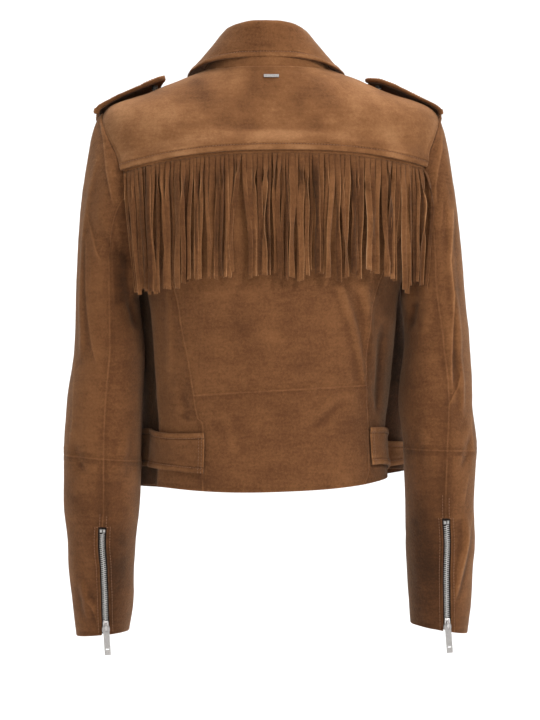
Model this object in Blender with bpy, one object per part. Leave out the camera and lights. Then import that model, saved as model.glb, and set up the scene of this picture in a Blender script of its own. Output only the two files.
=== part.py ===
"""Suede biker jacket with a fringed yoke, held in its worn shape. Metres, +Z up, the back faces -Y.

The origin is the middle of the neck at the height of the back neck seam. +X is the wearer's right.
The torso is one surface torso(a, v): a goes round the body (0 back, 0.5 right side, 1 front) and v
goes up it (0 hem, 4 underarm, 6 yoke edge, 7 shoulder, 9 neck). A sleeve is sleeve(side, k, w): k goes
round the arm in 18 columns (0 underarm, 5 back seam, 9 shoulder) and w down it (0 armhole, 9 cuff).
"""

import math

import bpy
import numpy as np
from mathutils import Vector
from mathutils.bvhtree import BVHTree

# ---- driving dimensions ----
WALL = 0.0018  # thickness of one layer of suede
GAP = 0.0003  # space kept between two pieces
LAP_RISE = 0.0042  # the yoke's lower band stands this far out, over the fringe's strip
LAP_BAND = 0.085  # height of that band, in v
LAP_UNDER = 0.05  # how far the centre panel runs up under the yoke, in v

FRINGE_COUNT = 66
FRINGE_STRIP = 0.0070
FRINGE_WIDTH = 0.0042
FRINGE_THICK = 0.0012

ZIP_HALF_OPENING = 0.0050
ZIP_TAPE_HALF = 0.0085
ZIP_HEIGHTS = (-0.0032, -0.0022, -0.0006, -0.0006, -0.0022, -0.0032)
ZIP_TEETH = 0.0065
ZIP_TOP_W = 5.66
SLIDER = (0.0094, 0.0150, 0.0026)
PULL = (0.0075, 0.0340, 0.0012)

BAR_PLATE = (0.0180, 0.0039, 0.0012)
BAR_PLATE_AT = (0.0040, -0.0124)

K = 18  # columns round a sleeve
BACK_SEAM, SHOULDER, INSEAM = 5, 9, 14

# ---- torso rings ----
SECTION_COLUMNS = (
    "v", "back_z", "side_z", "front_z", "half_width", "back", "front", "square", "shift", "turn", "tilt",
)
SECTIONS = (
    (0.0, -0.5120, -0.4980, -0.5160, 0.1430, 0.0980, 0.1420, 0.90, 0.0010, 12.0, 0.030),
    (1.0, -0.4400, -0.4400, -0.4500, 0.1390, 0.0965, 0.1380, 0.90, 0.0010, 11.5, 0.030),
    (2.0, -0.3905, -0.3905, -0.3950, 0.1420, 0.0985, 0.1380, 0.90, 0.0030, 8.5, 0.056),
    (3.0, -0.3200, -0.3200, -0.3200, 0.1480, 0.1040, 0.1380, 0.90, 0.0050, 6.0, 0.040),
    (4.0, -0.2630, -0.2630, -0.2630, 0.1560, 0.1090, 0.1360, 0.90, 0.0050, 5.5, 0.020),
    (5.0, -0.1900, -0.1900, -0.1900, 0.1880, 0.1130, 0.1300, 0.88, 0.0050, 5.0, 0.000),
    (6.0, -0.0975, -0.1300, -0.1150, 0.2010, 0.1080, 0.1180, 0.86, 0.0050, 4.0, 0.012),
    (7.0, -0.0700, -0.0570, -0.0850, 0.1990, 0.0980, 0.0930, 0.86, 0.0028, 2.0, 0.000),
    (8.0, -0.0320, -0.0320, -0.0560, 0.1400, 0.0840, 0.0800, 0.92, 0.0010, 0.5, 0.000),
    (9.0, 0.0000, -0.0065, -0.0450, 0.0780, 0.0700, 0.0680, 0.96, 0.0000, 0.0, 0.000),
)

# Ridges and valleys: from (v0, a0) to (v1, a1), half width in a, height outwards, length of the fade in v.
FOLD_COLUMNS = ("v0", "a0", "v1", "a1", "width", "height", "fade")
TORSO_FOLDS = (
    (-2.0, -0.500, 4.6, -0.500, 0.040, -0.0070, 0.9),
    (-2.0, 0.500, 4.6, 0.500, 0.035, -0.0080, 0.9),
    (-2.0, 0.500, 3.0, 0.500, 0.040, -0.0100, 2.4),
    (-2.0, -0.640, 3.8, -0.605, 0.055, 0.0120, 1.2),
    (0.8, -0.615, 3.3, -0.605, 0.045, 0.0046, 0.7),
    (-2.0, 0.640, 3.6, 0.600, 0.110, 0.0360, 2.2),
    (-1.0, 0.605, 4.2, 0.585, 0.060, 0.0190, 0.9),
    (2.8, -0.602, 4.9, -0.592, 0.052, 0.0116, 0.8),
    (3.3, 0.600, 4.4, 0.575, 0.055, 0.0085, 0.6),
    (1.6, 0.285, 4.2, 0.205, 0.020, 0.0035, 0.5),
    (1.2, 0.330, 3.2, 0.310, 0.022, -0.0040, 0.6),
    (1.3, -0.270, 2.3, -0.285, 0.022, -0.0040, 0.4),
    (2.2, -0.060, 3.6, -0.120, 0.050, -0.0020, 0.6),
)

# ---- seams, laid out at (x, z) as they look from behind ----
EYE_AWAY = 3.5
EYE_AT = (0.0024, -0.3530)
READ_PLANE = -0.060
PRINCESS_LEFT = (
    (-0.0785, -0.512), (-0.0780, -0.486), (-0.0788, -0.428), (-0.0840, -0.4235), (-0.0890, -0.395),
    (-0.0960, -0.353), (-0.1045, -0.312), (-0.1130, -0.267), (-0.1300, -0.228), (-0.1540, -0.188),
)
PRINCESS_RIGHT = (
    (0.1215, -0.506), (0.1212, -0.486), (0.1205, -0.433), (0.1194, -0.383), (0.1183, -0.353),
    (0.1236, -0.312), (0.1355, -0.256), (0.1500, -0.224), (0.1655, -0.188),
)
ARMHOLE_COLUMNS = ("k", "left_a", "right_a", "v")
ARMHOLE = (
    (0, -0.500, 0.500, 4.00),
    (1, -0.468, 0.470, 4.05),
    (2, -0.438, 0.430, 4.22),
    (3, -0.400, 0.372, 4.62),
    (4, -0.3585, 0.324, 5.03),
    (5, -0.340, 0.318, 5.47),
    (6, -0.342, 0.330, 5.94),
    (7, -0.373, 0.362, 6.34),
    (8, -0.412, 0.403, 6.635),
    (9, -0.500, 0.500, 7.00),
    (10, -0.600, 0.597, 6.66),
    (11, -0.640, 0.629, 6.35),
    (12, -0.664, 0.651, 5.97),
    (13, -0.672, 0.655, 5.52),
    (14, -0.662, 0.640, 5.09),
    (15, -0.632, 0.612, 4.68),
    (16, -0.585, 0.570, 4.32),
    (17, -0.540, 0.535, 4.10),
    (18, -0.500, 0.500, 4.00),
)
FRONT_EDGE = (
    (0.0, 0.880), (1.0, 0.876), (2.0, 0.879), (3.0, 0.885), (4.0, 0.892), (5.0, 0.914), (6.0, 0.922), (7.0, 0.908),
    (8.0, 0.866), (9.0, 0.790),
)

# ---- sleeves ----
RING_COLUMNS = ("w", "z", "x", "half_width", "y", "half_depth", "seam", "rise")
RINGS = {
    -1: (
        (1, -0.2810, -0.1920, 0.0380, 0.0000, 0.0600, 84, 0.0000),
        (2, -0.3350, -0.1900, 0.0415, -0.0020, 0.0600, 86, 0.0000),
        (3, -0.4010, -0.1955, 0.0445, -0.0060, 0.0580, 86, -0.0020),
        (4, -0.4700, -0.1990, 0.0470, -0.0080, 0.0580, 85, -0.0040),
        (5, -0.5210, -0.1990, 0.0460, -0.0050, 0.0550, 85, -0.0020),
        (6, -0.5690, -0.1990, 0.0410, 0.0030, 0.0510, 87, 0.0000),
        (7, -0.6050, -0.2000, 0.0390, 0.0100, 0.0480, 83, 0.0000),
        (8, -0.6410, -0.1985, 0.0365, 0.0180, 0.0450, 83, 0.0010),
        (9, -0.6800, -0.1985, 0.0315, 0.0260, 0.0420, 80, 0.0030),
    ),
    1: (
        (1, -0.2810, 0.1985, 0.0385, 0.0000, 0.0600, 92, 0.0000),
        (2, -0.3350, 0.2025, 0.0395, -0.0020, 0.0600, 96, 0.0000),
        (3, -0.4010, 0.2005, 0.0440, -0.0060, 0.0580, 106, 0.0000),
        (4, -0.4600, 0.2063, 0.0435, -0.0080, 0.0570, 96, 0.0010),
        (5, -0.5210, 0.2058, 0.0415, -0.0050, 0.0540, 95, 0.0010),
        (6, -0.5690, 0.2068, 0.0420, 0.0030, 0.0510, 96, 0.0010),
        (7, -0.6050, 0.2057, 0.0392, 0.0100, 0.0480, 97, 0.0020),
        (8, -0.6410, 0.2058, 0.0374, 0.0180, 0.0450, 98, 0.0030),
        (9, -0.6740, 0.2046, 0.0342, 0.0260, 0.0420, 102, 0.0060),
    ),
}
# How the cap leaves the armhole: outwards, backwards and upwards parts, and its pull as a share of its length.
LEAVE_COLUMNS = ("k", "out", "back", "up", "pull")
LEAVE = (
    (0, 0.75, 0.00, -0.65, 0.9),
    (2, 0.75, 0.15, -0.65, 0.7),
    (5, 0.85, 0.15, -0.50, 0.7),
    (7, 0.95, 0.10, -0.20, 0.5),
    (9, 1.00, 0.00, 0.02, 0.28),
    (11, 0.95, -0.10, -0.20, 0.5),
    (14, 0.85, -0.15, -0.50, 0.7),
    (16, 0.75, -0.15, -0.65, 0.7),
    (18, 0.75, 0.00, -0.65, 0.9),
)
LEAVE_TOP = {-1: (1.00, 0.00, 0.02, 0.28), 1: (0.70, 0.00, -0.60, 0.22)}
SLEEVE_FOLD_COLUMNS = ("w0", "k0", "w1", "k1", "width", "height", "fade")
SLEEVE_FOLDS = {
    -1: (
        (0.05, 5.6, 0.75, 5.2, 0.30, 0.0030, 0.25),
        (0.60, 7.3, 2.40, 7.0, 0.35, 0.0030, 0.50),
        (0.80, 3.0, 1.80, 1.6, 0.60, -0.0040, 0.40),
        (3.30, 3.0, 4.60, 4.2, 0.60, 0.0030, 0.50),
        (3.60, 7.2, 4.50, 6.0, 0.50, -0.0030, 0.40),
        (7.20, 6.6, 8.60, 6.2, 0.35, 0.0030, 0.40),
    ),
    1: (
        (0.20, 5.6, 0.80, 5.4, 0.30, 0.0025, 0.25),
        (0.60, 6.4, 3.40, 6.3, 0.35, 0.0035, 0.50),
        (0.80, 3.0, 1.80, 1.6, 0.60, -0.0040, 0.40),
        (3.40, 3.0, 4.60, 4.2, 0.60, 0.0030, 0.50),
        (5.20, 6.8, 7.20, 6.0, 0.35, 0.0030, 0.40),
        (3.50, 7.4, 4.50, 6.2, 0.50, -0.0030, 0.40),
    ),
}

# ---- collar, right half: where it rolls and where its edge hangs ----
COLLAR_COLUMNS = ("a", "roll_x", "roll_y", "roll_z", "edge_x", "edge_y", "edge_z")
COLLAR = (
    (0.000, 0.0000, -0.0560, 0.0545, 0.0000, -0.0722, 0.0116),
    (0.125, 0.0205, -0.0530, 0.0535, 0.0360, -0.0682, 0.0108),
    (0.250, 0.0370, -0.0410, 0.0490, 0.0680, -0.0508, 0.0056),
    (0.375, 0.0455, -0.0200, 0.0430, 0.0865, -0.0295, -0.0032),
    (0.500, 0.0480, 0.0020, 0.0370, 0.0925, -0.0020, -0.0085),
    (0.625, 0.0470, 0.0270, 0.0240, 0.0940, 0.0330, -0.0160),
    (0.720, 0.0420, 0.0480, 0.0080, 0.0880, 0.0620, -0.0280),
    (0.790, 0.0370, 0.0640, -0.0080, 0.0800, 0.0840, -0.0420),
)
COLLAR_SHIFT = -0.0030


# ---- curves and surfaces ----
class Smooth:
    """A curve through rows of (t, values...). With level, it never swings past them."""

    def __init__(self, rows, level=True):
        data = np.array(rows, float)
        self.t = data[:, 0]
        self.y = data[:, 1:]
        step = np.diff(self.t)[:, None]
        slope = np.diff(self.y, axis=0) / step
        self.m = np.zeros_like(self.y)
        self.m[0] = slope[0]
        self.m[-1] = slope[-1]
        both = slope[:-1] * slope[1:]
        mean = 2 * both / np.where(np.abs(slope[:-1] + slope[1:]) < 1e-12, 1e-12, slope[:-1] + slope[1:])
        self.m[1:-1] = np.where(both > 0, mean, 0) if level else (slope[:-1] + slope[1:]) / 2

    def __call__(self, t):
        t = np.asarray(t, float)
        i = np.clip(np.searchsorted(self.t, t, side="right") - 1, 0, len(self.t) - 2)
        width = self.t[i + 1] - self.t[i]
        s = np.clip((t - self.t[i]) / width, 0, 1)[..., None]
        width = width[..., None]
        return (
            (1 + 2 * s) * (1 - s) ** 2 * self.y[i]
            + s * (1 - s) ** 2 * width * self.m[i]
            + s * s * (3 - 2 * s) * self.y[i + 1]
            - s * s * (1 - s) * width * self.m[i + 1]
        )


def ramp(x):
    x = np.clip(x, 0, 1)
    return x * x * (3 - 2 * x)


def power(x, p):
    return np.sign(x) * np.abs(x) ** p


def folds(rows, u, v):
    """Height of the ridges at u round the form and v along it."""
    total = np.zeros(np.broadcast(u, v).shape)
    for v0, u0, v1, u1, width, height, fade in rows:
        centre = u0 + (u1 - u0) * np.clip((v - v0) / (v1 - v0), 0, 1)
        along = ramp((v - v0) / fade) * ramp((v1 - v) / fade)
        total = total + height * along * np.exp(-(((u - centre) / width) ** 2))
    return total


def nearer(y):
    """How much larger a thing at depth y is than it looks from behind."""
    return 1 + (y - READ_PLANE) / EYE_AWAY


def real_x(x, y):
    return EYE_AT[0] + (x - EYE_AT[0]) * nearer(y)


def real_z(z, y):
    return EYE_AT[1] + (z - EYE_AT[1]) * nearer(y)


def real_section(row):
    v, back_z, side_z, front_z, half, back, front, *rest = row
    return (v, real_z(back_z, -back), real_z(side_z, 0.0), front_z, half * nearer(0.0), back, front, *rest)


section = Smooth([real_section(row) for row in SECTIONS], level=False)


def torso(a, v, out=0.0):
    """The body's surface, pushed out by so much."""
    a, v = np.broadcast_arrays(np.asarray(a, float), np.asarray(v, float))
    back_z, side_z, front_z, half, back, front, square, shift, turn, tilt = np.moveaxis(section(v), -1, 0)
    sin, cos = np.sin(np.pi * a), np.cos(np.pi * a)
    x = half * power(sin, square)
    y = -np.where(cos > 0, back, front) * power(cos, square)
    side = np.clip(np.abs(x / half), 0, 1) ** 2.5
    z = np.where(cos > 0, back_z, front_z) * (1 - side) + side_z * side
    push = out + folds(TORSO_FOLDS, a, v)
    x = x + push * sin
    y = y - push * cos
    turn = np.radians(turn)
    turned = x * np.cos(turn) - y * np.sin(turn), x * np.sin(turn) + y * np.cos(turn)
    x = turned[0] + shift
    return np.stack([x, turned[1], z + tilt * x], axis=-1)


def unit(vectors):
    return vectors / np.maximum(np.linalg.norm(vectors, axis=-1, keepdims=True), 1e-12)


def normals(surface, u, v, limits, step=1e-3):
    """Outward normals of surface(u, v)."""
    u, v = np.broadcast_arrays(np.asarray(u, float), np.asarray(v, float))
    low, high = np.maximum(v - step, limits[0]), np.minimum(v + step, limits[1])
    along_u = surface(u + step, v) - surface(u - step, v)
    along_v = surface(u, high) - surface(u, low)
    return unit(np.cross(along_u, along_v))


def torso_normals(a, v):
    return normals(torso, a, v, (0.0, 9.0))


def sighted(points):
    """(x, z) of points as they look from behind, measured on the plane READ_PLANE."""
    away = (points[..., 1:2] - READ_PLANE + EYE_AWAY) / EYE_AWAY
    return (points[..., [0, 2]] - EYE_AT) / away + EYE_AT


def find(points):
    """The (a, v) of the torso's back where it is seen at these (x, z)."""
    a, v = np.meshgrid(np.linspace(-0.5, 0.5, 161), np.linspace(0.0, 9.0, 181))
    grid = sighted(torso(a, v))
    found = []
    for point in np.array(points, float):
        miss = ((grid - point) ** 2).sum(axis=-1)
        i = np.unravel_index(miss.argmin(), miss.shape)
        here = np.array([a[i], v[i]])
        for _ in range(12):
            at = sighted(torso(*here))
            da = (sighted(torso(here[0] + 1e-4, here[1])) - at) / 1e-4
            dv = (sighted(torso(here[0], here[1] + 1e-4)) - at) / 1e-4
            turn = np.linalg.lstsq(np.stack([da, dv], axis=1), point - at, rcond=None)[0]
            here = here + np.clip(turn, (-0.02, -0.2), (0.02, 0.2))
        found.append(here)
    return np.array(found)


def seam(points):
    """a as a function of v along a seam read at (x, z)."""
    found = find(points)
    found = found[np.argsort(found[:, 1])]
    found[0, 1] = 0.0
    return Smooth(found[:, ::-1])


princess = {-1: seam(PRINCESS_LEFT), 1: seam(PRINCESS_RIGHT)}
front_edge = Smooth(FRONT_EDGE)


def armhole_table(side):
    """Rows of (k, a, v) once round the armhole."""
    return [(row[0], row[1] if side < 0 else row[2], row[3]) for row in ARMHOLE]


armhole_rows = {side: armhole_table(side) for side in (-1, 1)}


def halves(rows):
    """A curve for the back half and one for the front, so that the loop keeps its two corners."""
    return Smooth(rows[: SHOULDER + 1]), Smooth(rows[SHOULDER:])


armhole_curves = {side: halves(armhole_rows[side]) for side in (-1, 1)}


def armhole(side, k):
    """(a, v) at k round the armhole."""
    k = np.mod(np.asarray(k, float), K)
    back, front = armhole_curves[side]
    return np.where((k <= SHOULDER)[..., None], back(np.minimum(k, SHOULDER)), front(np.maximum(k, SHOULDER)))


def real_ring(row):
    w, z, x, half, y, *rest = row
    return (w, real_z(z, y), real_x(x, y), half * nearer(y), y, *rest)


ring = {side: Smooth([real_ring(row) for row in RINGS[side]]) for side in (-1, 1)}
leave = {side: Smooth([(*row[:1], *LEAVE_TOP[side]) if row[0] == 9 else row for row in LEAVE]) for side in (-1, 1)}


def sleeve_ring(side, k, w):
    z, x, half, y, depth, seam_at, rise = np.moveaxis(ring[side](np.maximum(w, 1.0)), -1, 0)
    k = np.mod(k, K)
    back = np.where(
        k <= BACK_SEAM,
        seam_at * k / BACK_SEAM,
        seam_at + (180 - seam_at) * (k - BACK_SEAM) / (SHOULDER - BACK_SEAM),
    )
    angle = np.radians(np.where(k <= SHOULDER, back, 180.0 * k / SHOULDER))
    cos, sin = np.cos(angle), np.sin(angle)
    push = folds(SLEEVE_FOLDS[side], k, w)
    return np.stack(
        [
            x - side * (half + push) * power(cos, 0.92),
            y - (depth + push) * power(sin, 0.92),
            z + rise * cos,
        ],
        axis=-1,
    )


def sleeve(side, k, w):
    """The sleeve's surface."""
    k, w = np.broadcast_arrays(np.asarray(k, float), np.asarray(w, float))
    low = sleeve_ring(side, k, w)
    at = armhole(side, k)
    start = torso(at[..., 0], at[..., 1])
    end = sleeve_ring(side, k, np.ones_like(w))
    after = sleeve_ring(side, k, np.full_like(w, 1.25))
    out, back, up, pull = np.moveaxis(leave[side](np.mod(k, K)), -1, 0)
    length = np.linalg.norm(end - start, axis=-1, keepdims=True)
    leaves = unit(np.stack([side * out, -back, up], axis=-1)) * length * pull[..., None]
    arrives = unit(after - end) * length * 0.9
    t = np.clip(w, 0, 1)[..., None]
    cap = (
        (1 + 2 * t) * (1 - t) ** 2 * start
        + t * (1 - t) ** 2 * leaves
        + t * t * (3 - 2 * t) * end
        - t * t * (1 - t) * arrives
    )
    return np.where((w < 1)[..., None], cap, low)


def sleeve_normals(side, k, w):
    found = normals(lambda u, v: sleeve(side, u, v), k, w, (0.0, 9.0), 2e-3)
    return found * -side


# ---- pieces ----
for old in list(bpy.data.objects):
    bpy.data.objects.remove(old)
collection = bpy.data.collections.new("biker_jacket")
bpy.context.scene.collection.children.link(collection)


def material(name, colour, roughness=0.9, metallic=0.0):
    made = bpy.data.materials.new(name)
    made.use_nodes = True
    shader = made.node_tree.nodes["Principled BSDF"]
    shader.inputs["Base Color"].default_value = (*colour, 1.0)
    shader.inputs["Roughness"].default_value = roughness
    shader.inputs["Metallic"].default_value = metallic
    return made


SUEDE = (0.165, 0.078, 0.036)
SUEDE_LIGHT = (0.30, 0.155, 0.075)
SUEDE_DARK = (0.085, 0.040, 0.020)
NICKEL = (0.62, 0.61, 0.58)


def add(name, points, faces, colour=SUEDE, metallic=0.0):
    """A mesh object from points and faces, turned to face out."""
    mesh = bpy.data.meshes.new(name)
    mesh.from_pydata([tuple(map(float, p)) for p in points], [], [tuple(map(int, f)) for f in faces])
    p = np.array(points, float)
    p = p - p.mean(axis=0)
    volume = 0.0
    for face in faces:
        for i in range(1, len(face) - 1):
            volume += np.dot(p[face[0]], np.cross(p[face[i]], p[face[i + 1]]))
    if volume < 0:
        mesh.flip_normals()
    mesh.materials.append(material(name, colour, 0.32 if metallic else 0.92, metallic))
    obj = bpy.data.objects.new(name, mesh)
    collection.objects.link(obj)
    return obj


def wall(name, outer, inner, colour=SUEDE, metallic=0.0):
    """A closed sheet between two grids of points."""
    rows, columns = outer.shape[:2]
    points = np.concatenate([outer.reshape(-1, 3), inner.reshape(-1, 3)])
    size = rows * columns

    def at(r, c, layer):
        return layer * size + r * columns + c

    faces = []
    for r in range(rows - 1):
        for c in range(columns - 1):
            faces.append((at(r, c, 0), at(r, c + 1, 0), at(r + 1, c + 1, 0), at(r + 1, c, 0)))
            faces.append((at(r, c, 1), at(r + 1, c, 1), at(r + 1, c + 1, 1), at(r, c + 1, 1)))
    for c in range(columns - 1):
        faces.append((at(0, c, 0), at(0, c, 1), at(0, c + 1, 1), at(0, c + 1, 0)))
        faces.append((at(rows - 1, c, 0), at(rows - 1, c + 1, 0), at(rows - 1, c + 1, 1), at(rows - 1, c, 1)))
    for r in range(rows - 1):
        faces.append((at(r, 0, 0), at(r + 1, 0, 0), at(r + 1, 0, 1), at(r, 0, 1)))
        last = columns - 1
        faces.append((at(r, last, 0), at(r, last, 1), at(r + 1, last, 1), at(r + 1, last, 0)))
    return add(name, points, faces, colour, metallic)


def pull_in(grid, edges):
    """The grid with its named edges drawn in by half a gap: bottom and top rows, left and right columns."""
    made = grid.copy()
    if "bottom" in edges:
        made[0] += unit(grid[1] - grid[0]) * GAP / 2
    if "top" in edges:
        made[-1] += unit(grid[-2] - grid[-1]) * GAP / 2
    if "left" in edges:
        made[:, 0] += unit(grid[:, 1] - grid[:, 0]) * GAP / 2
    if "right" in edges:
        made[:, -1] += unit(grid[:, -2] - grid[:, -1]) * GAP / 2
    return made


def mitre(first, second):
    """Direction and length of the shared rim of two sheets with these normals."""
    middle = unit(first + second)
    share = np.maximum((middle * first).sum(axis=-1, keepdims=True), 0.6)
    return middle / share


EDGES = ("bottom", "top", "left", "right")


def torso_piece(name, rows, left, right, shares, raised=0.0, colour=SUEDE, edges=EDGES, rims=(), thick=WALL, hem=None):
    """A panel over rows of v from a = left to a = right, with columns at these shares of the way across (or so many
    of them). rims names the points that lie on an armhole: rows, column, side and their k. hem gives v along the
    lowest row."""
    shares = np.linspace(0, 1, shares) if np.isscalar(shares) else np.array(shares)
    v = np.array(rows, float)[:, None]
    left, right = np.array(left, float)[:, None], np.array(right, float)[:, None]
    a = left + (right - left) * shares[None, :]
    v = np.broadcast_to(v, a.shape).copy()
    if hem is not None:
        v[0] = hem
    raised = np.broadcast_to(np.asarray(raised, float), a.shape)[..., None]
    surface, out = torso(a, v), torso_normals(a, v)
    for row, column, side, k in rims:
        k = np.asarray(k, float)
        meets = sleeve_normals(side, k, np.full_like(k, 0.02))
        out[row, column] = mitre(out[row, column], meets)
    outer, inner = surface + out * raised, surface + out * (raised - thick)
    return wall(name, pull_in(outer, edges), pull_in(inner, edges), colour)


def sleeve_piece(name, side, rows, left, right, columns, colour=SUEDE):
    """A sleeve panel over rows of w between columns left and right of k."""
    w = np.array(rows, float)[:, None]
    left, right = np.array(left, float)[:, None], np.array(right, float)[:, None]
    k = left + (right - left) * np.array(columns, float)[None, :]
    w = np.broadcast_to(w, k.shape)
    surface, out = sleeve(side, k, w), sleeve_normals(side, k, w)
    if rows[0] == 0:
        at = armhole(side, k[0])
        meets = torso_normals(at[:, 0], at[:, 1])
        out[0] = mitre(sleeve_normals(side, k[0], np.full_like(k[0], 0.02)), meets)
    surface, inner = pull_in(surface, EDGES), pull_in(surface - out * WALL, EDGES)
    if rows[0] == 0:
        surface[0] += unit(surface[1] - surface[0]) * GAP / 2
        inner[0] += unit(inner[1] - inner[0]) * GAP / 2
    return wall(name, surface, inner, colour)


# ---- the body's panels ----
def side_name(side):
    return "left" if side < 0 else "right"


def princess_a(side, v):
    return princess[side](v)[..., 0]


LOWER_ROWS = (0.0, 0.5, 1.0, 1.5, 2.0)
UPPER_ROWS = (2.0, 2.4, 2.8, 3.2, 3.6, 4.0)
hole_v = [row[3] for row in ARMHOLE]

rows = np.array(LOWER_ROWS)
torso_piece("back_lower_center", rows, princess_a(-1, rows), princess_a(1, rows), 9)

rows = list(UPPER_ROWS) + hole_v[1:5]
left, right = list(princess_a(-1, rows)), list(princess_a(1, rows))
rows += [hole_v[4] + 0.02, hole_v[5], hole_v[6], hole_v[6] + LAP_UNDER]
for extra in rows[-4:]:
    left.append(np.interp(extra, hole_v[4:8], [row[1] for row in armhole_rows[-1][4:8]]))
    right.append(np.interp(extra, hole_v[4:8], [row[1] for row in armhole_rows[1][4:8]]))
last = len(rows) - 1
torso_piece(
    "back_upper_center", rows, left, right, 9,
    rims=[(slice(last - 2, last), 0, -1, [5, 6]), (slice(last - 2, last), 8, 1, [5, 6])],
)

for side in (-1, 1):
    rows = list(LOWER_ROWS) + list(UPPER_ROWS[1:]) + hole_v[1:5]
    outer_a = [side * 0.5] * 10 + [row[1] for row in armhole_rows[side][1:5]]
    inner_a = list(princess_a(side, rows))
    hole = slice(9, 14)
    if side < 0:
        torso_piece("back_side_left", rows, outer_a, inner_a, 5, rims=[(hole, 0, side, range(5))])
    else:
        torso_piece("back_side_right", rows, inner_a, outer_a, 5, rims=[(hole, 4, side, range(5))])

YOKE_COLUMNS = 19
# The yoke: its lowest rows stand out over the fringe's strip.
rows = [hole_v[6], hole_v[6] + LAP_BAND, hole_v[6] + 2.2 * LAP_BAND, hole_v[7], hole_v[8], 7.0, 7.5, 8.0, 8.5, 9.0]
left = [np.interp(v, hole_v[6:10], [row[1] for row in armhole_rows[-1][6:10]]) for v in rows]
right = [np.interp(v, hole_v[6:10], [row[1] for row in armhole_rows[1][6:10]]) for v in rows]
raised = np.zeros((len(rows), YOKE_COLUMNS))
raised[0:2] = LAP_RISE
torso_piece(
    "yoke", rows, left, right, YOKE_COLUMNS, raised=raised, colour=SUEDE_LIGHT,
    rims=[
        (slice(3, 6), 0, -1, [7, 8, 9]), (slice(3, 6), YOKE_COLUMNS - 1, 1, [7, 8, 9]),
        ([0], 0, -1, [6]), ([0], YOKE_COLUMNS - 1, 1, [6]),
    ],
)

FRONT_SHARES = np.array([0, 0.07, 0.14, 0.24, 0.38, 0.55, 0.77, 1])
FRONT_ROWS = [*LOWER_ROWS, *UPPER_ROWS[1:], *hole_v[17:8:-1], 7.5, 8.0, 8.5, 9.0]
for side in (-1, 1):
    below = list(LOWER_ROWS) + list(UPPER_ROWS[1:])
    rows = below + hole_v[17:8:-1] + [7.5, 8.0, 8.5, 9.0]
    outer_a = [side * 0.5] * len(below) + [row[1] for row in armhole_rows[side][17:8:-1]] + [side * 0.5] * 4
    edge = list(side * front_edge(rows)[..., 0])
    hole = slice(len(below) - 1, len(below) + 9)
    k = range(18, 8, -1)
    if side < 0:
        torso_piece("front_left", rows, edge, outer_a, 1 - FRONT_SHARES[::-1], rims=[(hole, 7, side, k)])
    else:
        hem = np.interp(FRONT_SHARES, (0, 0.55), (0.17, 0.0))
        torso_piece("front_right", rows, outer_a, edge, FRONT_SHARES, rims=[(hole, 0, side, k)], hem=hem)

# ---- sleeves ----
CUFF_ROWS = (4.0, 4.5, 5.0, 5.35, ZIP_TOP_W, ZIP_TOP_W + 0.12, 6.0, 6.5, 7.0, 7.5, 8.0, 8.5, 9.0)
TOP_ROWS = (0.0, 0.12, 0.3, 0.5, 0.75, 1.0, 1.5, 2.0, 2.5, 3.0, 3.5, 4.0)


def column_width(side, w, outwards):
    """Length of a step of one column beside the back seam."""
    near = sleeve(side, BACK_SEAM, w)
    return np.linalg.norm(sleeve(side, BACK_SEAM + (0.5 if outwards else -0.5), w) - near, axis=-1) * 2


def zip_edge(side, rows, outwards):
    """k of a panel's edge beside the cuff zip."""
    rows = np.array(rows)
    away = np.where(rows > ZIP_TOP_W + 0.05, ZIP_HALF_OPENING, 0.0) / column_width(side, rows, outwards)
    return BACK_SEAM + (away if outwards else -away)


for side in (-1, 1):
    name = side_name(side)
    full = [BACK_SEAM] * len(TOP_ROWS), [INSEAM] * len(TOP_ROWS)
    sleeve_piece("sleeve_top_upper_" + name, side, TOP_ROWS, *full, np.linspace(0, 1, 10))
    full = [INSEAM] * len(TOP_ROWS), [BACK_SEAM + K] * len(TOP_ROWS)
    sleeve_piece("sleeve_under_upper_" + name, side, TOP_ROWS, *full, np.linspace(0, 1, 10))
    outer_k = zip_edge(side, CUFF_ROWS, True)
    inner_k = zip_edge(side, CUFF_ROWS, False)
    seam_k = [INSEAM] * len(CUFF_ROWS)
    sleeve_piece("sleeve_top_lower_" + name, side, CUFF_ROWS, outer_k, seam_k, np.linspace(0, 1, 10))
    sleeve_piece("sleeve_under_lower_" + name, side, CUFF_ROWS, seam_k, inner_k + K, np.linspace(0, 1, 10))


def grid_normals(points):
    return unit(np.cross(np.gradient(points, axis=1), np.gradient(points, axis=0)))


# ---- collar ----
def real_collar(row):
    a, roll_x, roll_y, roll_z, edge_x, edge_y, edge_z = row
    roll = real_x(roll_x, roll_y), roll_y, real_z(roll_z, roll_y)
    return (a, *roll, real_x(edge_x, edge_y), edge_y, real_z(edge_z, edge_y))


collar_half = Smooth([real_collar(row) for row in COLLAR], level=False)


def collar_profile(a):
    """Seven points from the neck seam over the roll to the edge, on the side that shows when it is turned down."""
    row = collar_half(abs(a))
    mirror = np.array([1.0 if a >= 0 else -1.0, 1.0, 1.0])
    shift = np.array([COLLAR_SHIFT, 0.0, 0.0])
    neck = torso(a, 9.0)
    roll = row[:3] * mirror + shift
    edge = row[3:] * mirror + shift
    out = unit(np.array([edge[0] - roll[0], edge[1] - roll[1], 0.0]))
    inwards = unit(np.array([neck[0], neck[1], 0.0]))
    up = np.array([0.0, 0.0, 1.0])
    foot = neck - inwards * WALL + up * GAP
    return np.array([
        foot,
        foot * 0.5 + roll * 0.5 - out * 0.0025,
        roll - out * 0.0035 - up * 0.0090,
        roll,
        roll + out * 0.0050 - up * 0.0030,
        roll * 0.5 + edge * 0.5 + out * 0.0005 + up * 0.0010,
        edge,
    ])


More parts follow.
